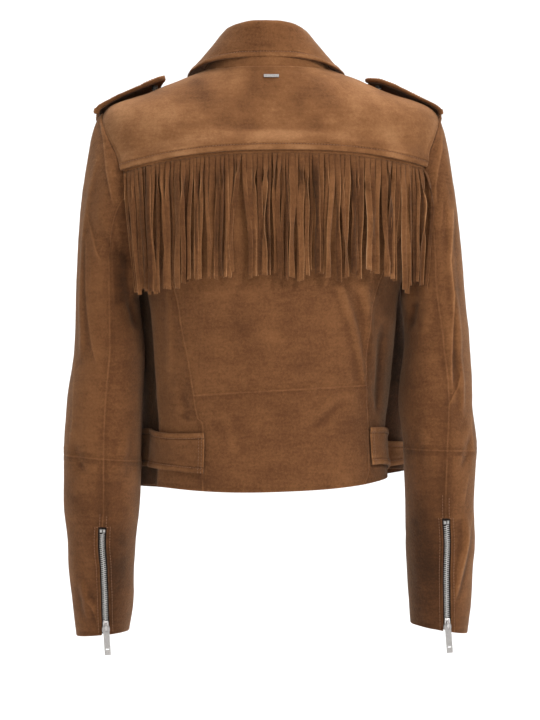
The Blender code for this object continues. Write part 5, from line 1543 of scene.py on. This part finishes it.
# ---- metal ----
METAL_EDGE = 0.0003
for name, material in (
    ("bar_plate", BAR_METAL), ("buckle", NICKEL), ("epaulette_snap_left", SNAP_METAL),
    ("epaulette_snap_right", SNAP_METAL), ("cuff_zip_left_pull", BAR_METAL), ("cuff_zip_right_pull", BAR_METAL),
    ("front_zip_left", TAPE), ("front_zip_right", TAPE),
):
    obj = nodes[name]
    obj.data.materials.clear()
    obj.data.materials.append(material)
    if material != TAPE:
        bevel = obj.modifiers.new("edges", "BEVEL")
        bevel.width = METAL_EDGE
        bevel.segments = 2
        bevel.limit_method = "ANGLE"

# ---- zip teeth ----
TOOTH = (0.0037, 0.00105, 0.0015)  # length, width and height
TOOTH_PITCH = 0.00130
# A tooth's outline, as shares of its length and width, and its size at each height.
TOOTH_OUTLINE = ((0.0, -0.5), (0.3, -0.5), (1.0, -0.34), (1.0, 0.34), (0.3, 0.5), (0.0, 0.5))
TOOTH_RINGS = ((-0.3, 1.0), (0.6, 1.0), (1.0, 0.72))
FRONT_TEETH_OUT = 0.0060 / 0.43  # from the front's edge to its teeth, in a: metres by metres for each a
SLIDER_W, TEETH_END_W, TAPE_END_W = 8.72, 8.58, 8.96  # down the sleeve
TAPE_DEPTH, TAPE_THICK = 0.0024, 0.0009  # depth under the sleeve's surface
# Across the tape: from its middle, and how far the cord stands out.
TAPE_SECTION = (
    (-0.0085, 0.0), (-0.0060, 0.0), (-0.0034, 0.0), (-0.0030, 0.0006),
    (0.0030, 0.0006), (0.0034, 0.0), (0.0060, 0.0), (0.0085, 0.0),
)
SLIDER = (0.0094, 0.0150, 0.0026)  # width, length and height
# Half width of the slider's plate down its length, from its narrow end, as shares of SLIDER.
SLIDER_OUTLINE = (
    (-0.50, 0.26), (-0.47, 0.34), (-0.40, 0.37), (-0.10, 0.38), (0.06, 0.48), (0.30, 0.50), (0.44, 0.47), (0.50, 0.38),
)
# Course of the slider's arch: metres down it and out of its plate.
SLIDER_ARCH = (
    (-0.0040, -0.0004), (-0.0038, 0.0014), (-0.0030, 0.0025), (-0.0014, 0.0030),
    (0.0014, 0.0030), (0.0030, 0.0025), (0.0038, 0.0014), (0.0040, -0.0004),
)
# The arch's section, across it and out of its course.
ARCH_RING = (
    (-0.0015, -0.0005), (0.0015, -0.0005), (0.0015, 0.0002), (0.0010, 0.0006), (-0.0010, 0.0006), (-0.0015, 0.0002),
)


def cuff_tape(side):
    """The woven tape under the cuff's opening, and the cord that the teeth grip."""
    rows = np.linspace(ZIP_TOP_W[side] - 0.06, TAPE_END_W, 70)[:, None]
    reach, raised = np.array(TAPE_SECTION).T
    k = BACK_SEAM + reach / np.where(reach < 0, column_width(side, rows, False), column_width(side, rows, True))
    w = np.broadcast_to(rows, k.shape)
    base, out = sleeve(side, k, w), sleeve_normals(side, k, w)
    outer = base + out * (raised - TAPE_DEPTH)[:, None]
    points, faces = closed_sheet(outer, base - out * (TAPE_DEPTH + TAPE_THICK))
    name = "cuff_zip_" + side_name(side)
    piece = new_piece(name + "_tape", points, orient(points, faces), TAPE)
    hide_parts(name)


def cuff_slider(side):
    """The slider's plate with its arch."""
    at, out = sleeve(side, BACK_SEAM, SLIDER_W), sleeve_normals(side, BACK_SEAM, SLIDER_W)
    down = sleeve(side, BACK_SEAM, 8.9) - sleeve(side, BACK_SEAM, 8.55)
    down = unit(down - out * np.dot(down, out))
    across, origin = np.cross(down, out), at - out * 0.0002
    wide, long, tall = SLIDER
    points, faces = [], []

    def add(local):
        x, y, z = local
        points.append(origin + across * x + down * y + out * z)

    ring = [(-half * wide, y * long) for y, half in SLIDER_OUTLINE]
    ring += [(half * wide, y * long) for y, half in SLIDER_OUTLINE[::-1]]
    for z, shrink in ((0.0, 0.96), (0.0004, 1.0), (tall - 0.0005, 1.0), (tall, 0.93)):
        for x, y in ring:
            add((x * shrink, y * shrink, z))
    faces += loft(0, 4, len(ring))
    first = len(points)
    for n, (y, z) in enumerate(SLIDER_ARCH):
        before, after = SLIDER_ARCH[max(n - 1, 0)], SLIDER_ARCH[min(n + 1, len(SLIDER_ARCH) - 1)]
        step = unit(np.array([after[0] - before[0], after[1] - before[1]]))
        for x, off in ARCH_RING:
            add((x, y - step[1] * off, tall + z + step[0] * off))
    faces += loft(first, len(SLIDER_ARCH), len(ARCH_RING))
    name = "cuff_zip_" + side_name(side) + "_slider"
    piece = new_piece(name + "_shaped", points, faces, BAR_METAL, smooth=False)
    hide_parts(name)


def tooth(points, faces, at, across, along, out, reach):
    """One tooth: wide at its foot, narrower at its head, its corners drawn in."""
    first = len(points)
    long, wide, tall = TOOTH
    for height, grow in TOOTH_RINGS:
        for a, b in TOOTH_OUTLINE:
            centre = 0.5 + (a - 0.5) * grow
            points.append(at + across * reach * centre * long + along * b * wide * grow + out * height * tall)
    faces += loft(first, len(TOOTH_RINGS), len(TOOTH_OUTLINE), turned=reach < 0)


def cuff_stop(side, top, ahead, out):
    """The two blocks that end the row of teeth."""
    across = unit(np.cross(ahead, out))
    points, faces = [], []
    for way in (-1, 1):
        first = len(points)
        for high, shrink in ((-0.0010, 0.0), (0.0012, 0.0), (0.0018, 0.0004)):
            left, right, near, far = 0.0002 + shrink, 0.0034 - shrink, -0.0040 + shrink, 0.0002 - shrink
            for a, b in ((left, near), (right, near), (right, far), (left, far)):
                points.append(top + across * way * a + ahead * b + out * high)
        faces += loft(first, 3, 4)
    piece = new_piece("cuff_zip_" + side_name(side) + "_stop", points, faces, NICKEL, smooth=False)


for side in (-1, 1):
    cuff_tape(side)
    cuff_slider(side)
    w = np.linspace(ZIP_TOP_W[side] + 0.12, TEETH_END_W, 500)
    k = np.full_like(w, float(BACK_SEAM))
    line, outs = sleeve(side, k, w), sleeve_normals(side, k, w)
    points, faces = [], []
    places = lambda long: np.arange(0.002, long, TOOTH_PITCH)
    for n, (at, along, out) in enumerate(places_along(line, outs, places)):
        across = unit(np.cross(along, out))
        out = np.cross(across, along)
        way = 1 if n % 2 else -1
        tooth(points, faces, at - out * 0.0006 - across * way * 0.0006, across, along, out, way)
    piece = new_piece("cuff_zip_" + side_name(side) + "_teeth", points, faces, TEETH_METAL, smooth=False)
    cuff_stop(side, line[0], unit(line[8] - line[0]), outs[0])

for side in (-1, 1):
    v = np.linspace(0.1, 6.6, 600)
    a = side * (front_edge(v)[..., 0] + FRONT_TEETH_OUT)
    line, outs = torso(a, v), torso_normals(a, v)
    points, faces = [], []
    places = lambda long: np.arange(0.004, long - 0.002, 2 * TOOTH_PITCH)
    for at, along, out in places_along(line, outs, places):
        across = unit(np.cross(along, out)) * side
        tooth(points, faces, at + out * 0.0009, across, along * side, out, 1)
    piece = new_piece("front_zip_" + side_name(side) + "_teeth", points, faces, TEETH_METAL, smooth=False)

# ---- floor, light and camera ----
MIDDLE = (0.0, -0.05, -0.33)
WORLD_LIGHT = 0.23
# Columns: name, place, where it is aimed, size, watts
LIGHTS = (
    ("key", (1.7, -2.3, 1.9), MIDDLE, (1.3, 1.1), 82.0),
    ("fill", (-1.0, -3.2, 0.5), MIDDLE, (1.6, 2.0), 16.0),
    ("top", (0.1, 0.1, 2.2), MIDDLE, (2.0, 1.6), 36.0),
    ("backdrop_light", (0.0, 2.5, 7.0), (0.0, 7.0, -0.2), (10.8, 2.7), 720.0),
)
FLOOR_Z, FLOOR_FRONT, FLOOR_BACK, FLOOR_WIDE, BEND, WALL_TOP = -1.05, -14.0, 7.0, 14.0, 2.5, 11.0
profile = [(FLOOR_FRONT, FLOOR_Z)]
profile += [
    (FLOOR_BACK - BEND + BEND * math.sin(t), FLOOR_Z + BEND - BEND * math.cos(t))
    for t in np.linspace(0, math.pi / 2, 13)
]
profile.append((FLOOR_BACK, WALL_TOP))
points = [(x, y, z) for y, z in profile for x in (-FLOOR_WIDE, FLOOR_WIDE)]
faces = [(2 * i, 2 * i + 1, 2 * i + 3, 2 * i + 2) for i in range(len(profile) - 1)]
mesh = bpy.data.meshes.new("backdrop")
mesh.from_pydata(points, [], faces)
mesh.polygons.foreach_set("use_smooth", np.ones(len(faces), bool))
paper = {"Base Color": (0.93, 0.93, 0.93, 1.0), "Roughness": 1.0, "Specular IOR Level": 0.0}
mesh.materials.append(new_shader("paper", paper)[0])
backdrop = bpy.data.objects.new("backdrop", mesh)
bpy.context.scene.collection.objects.link(backdrop)

world = bpy.data.worlds.new("studio")
bpy.context.scene.world = world
world.use_nodes = True
world.node_tree.nodes["Background"].inputs["Color"].default_value = (1.0, 1.0, 1.0, 1.0)
world.node_tree.nodes["Background"].inputs["Strength"].default_value = WORLD_LIGHT
for name, place, target, size, watts in LIGHTS:
    light = bpy.data.lights.new(name, "AREA")
    light.shape = "RECTANGLE"
    light.size, light.size_y = size
    light.energy = watts
    obj = bpy.data.objects.new(name, light)
    obj.location = place
    obj.rotation_euler = (Vector(target) - Vector(place)).to_track_quat("-Z", "Y").to_euler()
    bpy.context.scene.collection.objects.link(obj)

PHOTO_HEIGHT_MM, SENSOR = 864.0, 36.0
camera = bpy.data.cameras.new("camera")
camera.sensor_fit = "VERTICAL"
camera.sensor_height = SENSOR
camera.lens = SENSOR * EYE_AWAY * 1000 / PHOTO_HEIGHT_MM
camera.clip_end = 50.0
eye = bpy.data.objects.new("camera", camera)
eye.location = (EYE_AT[0], READ_PLANE - EYE_AWAY, EYE_AT[1])
eye.rotation_euler = (math.pi / 2, 0.0, 0.0)
bpy.context.scene.collection.objects.link(eye)
bpy.context.scene.camera = eye
bpy.context.scene.view_settings.view_transform = "Standard"
